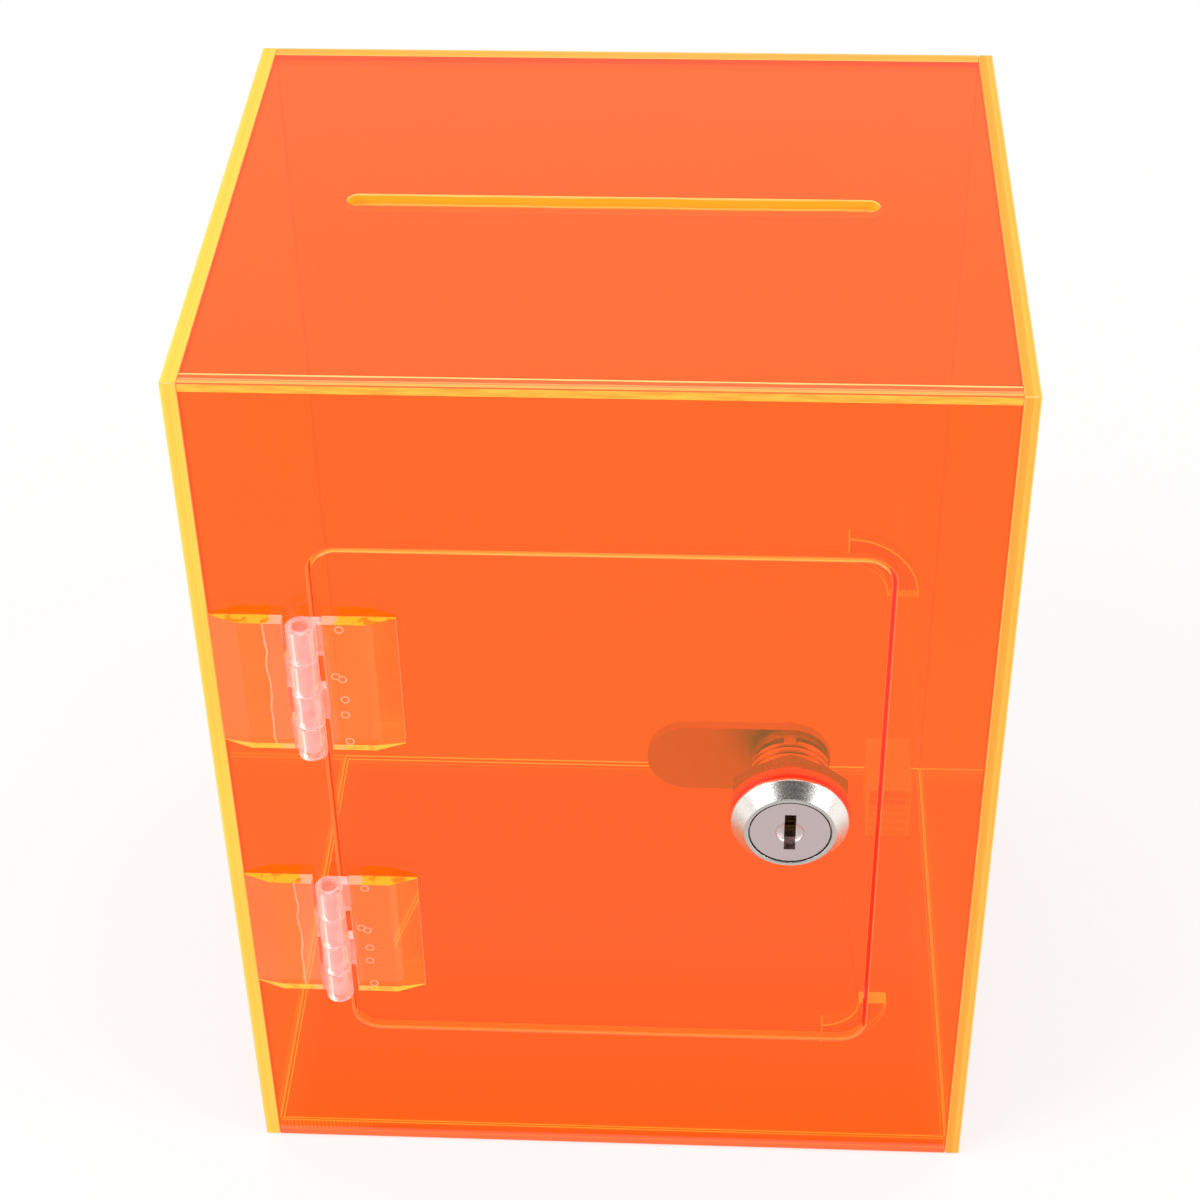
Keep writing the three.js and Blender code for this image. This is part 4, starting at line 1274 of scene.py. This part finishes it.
def camera_at_photo_angle(settings):
    """A camera above the front of the box, a little to the right, turned slightly about its own axis."""
    azimuth, elevation, roll = (math.radians(a) for a in (3.395, 38.096, -1.042))
    back = Vector((math.sin(azimuth) * math.cos(elevation), -math.cos(azimuth) * math.cos(elevation),
                   math.sin(elevation)))
    right = Vector((math.cos(azimuth), math.sin(azimuth), 0))
    up = back.cross(right)
    across = math.cos(roll) * right + math.sin(roll) * up
    upward = -math.sin(roll) * right + math.cos(roll) * up
    aim, distance = Vector((-3.39 * MM, 0, 126.35 * MM)), 533.98 * MM
    eye = aim + back * distance
    lens = bpy.data.cameras.new("photo_camera")
    lens.lens, lens.sensor_width = settings.lens, 36
    lens.shift_y = -0.0723
    lens.clip_start, lens.clip_end = 0.01, 20
    camera = bpy.data.objects.new("photo_camera", lens)
    bpy.context.collection.objects.link(camera)
    turn = Matrix((across, upward, back)).transposed().to_4x4()
    camera.matrix_world = Matrix.Translation(eye) @ turn
    bpy.context.scene.camera = camera


class MONEYBOX_OT_stage(bpy.types.Operator):
    """Makes the floor, the light and the camera"""

    bl_idname = "money_box.stage"
    bl_label = "Stage"

    def execute(self, context):
        settings = context.scene.money_box_stage
        context.scene.view_settings.view_transform = "Standard"
        bpy.ops.object.select_all(action="DESELECT")
        bpy.ops.mesh.primitive_plane_add(size=6, location=(0, 0, -0.4 * MM))
        floor = named("floor")
        floor.data.materials.append(floor_paint(settings))
        studio_world(settings)
        for name, place, size, power in (
                ("left_softbox", (-0.9, -0.5, 0.75), 0.7, 7),
                ("right_softbox", (0.95, -0.35, 0.6), 0.6, 4),
                ("overhead_softbox", (0.05, 0.1, 1.25), 0.9, 4)):
            lamp = bpy.data.lights.new(name, "AREA")
            lamp.size, lamp.energy = size, power
            softbox = bpy.data.objects.new(name, lamp)
            context.collection.objects.link(softbox)
            softbox.location = place
            aim = Vector((0, 0, 0.1)) - Vector(place)
            softbox.rotation_euler = aim.to_track_quat("-Z", "Y").to_euler()
        camera_at_photo_angle(settings)
        return {"FINISHED"}


OPERATORS = (
    MONEYBOX_OT_sheets,
    MONEYBOX_OT_hinges,
    MONEYBOX_OT_lock_body,
    MONEYBOX_OT_lock_plug,
    MONEYBOX_OT_cam,
    MONEYBOX_OT_stage,
)


class MONEYBOX_PT_pieces(bpy.types.Panel):
    """Lists the pieces of the money box and their settings"""

    bl_label = "Money box"
    bl_idname = "MONEYBOX_PT_pieces"
    bl_space_type = "VIEW_3D"
    bl_region_type = "UI"
    bl_category = "Money box"

    def draw(self, context):
        for group in GROUPS.values():
            settings = getattr(context.scene, group)
            for name in settings.bl_rna.properties.keys():
                if name not in ("rna_type", "name"):
                    self.layout.prop(settings, name)
        for operator in OPERATORS:
            self.layout.operator(operator.bl_idname)


GROUPS = {
    SheetSettings: "money_box_sheets",
    HingeSettings: "money_box_hinges",
    LockSettings: "money_box_lock",
    StageSettings: "money_box_stage",
}


def register():
    """Registers the settings, operators and panel."""
    for group, name in GROUPS.items():
        bpy.utils.register_class(group)
        setattr(bpy.types.Scene, name, PointerProperty(type=group))
    for kind in OPERATORS + (MONEYBOX_PT_pieces,):
        bpy.utils.register_class(kind)


def unregister():
    """Removes what register added."""
    for kind in reversed(OPERATORS + (MONEYBOX_PT_pieces,)):
        bpy.utils.unregister_class(kind)
    for group, name in GROUPS.items():
        delattr(bpy.types.Scene, name)
        bpy.utils.unregister_class(group)


def main():
    register()
    bpy.ops.money_box.sheets()
    bpy.ops.money_box.hinges()
    bpy.ops.money_box.lock_body()
    bpy.ops.money_box.lock_plug()
    bpy.ops.money_box.cam()
    bpy.ops.money_box.stage()


if __name__ == "__main__":
    main()
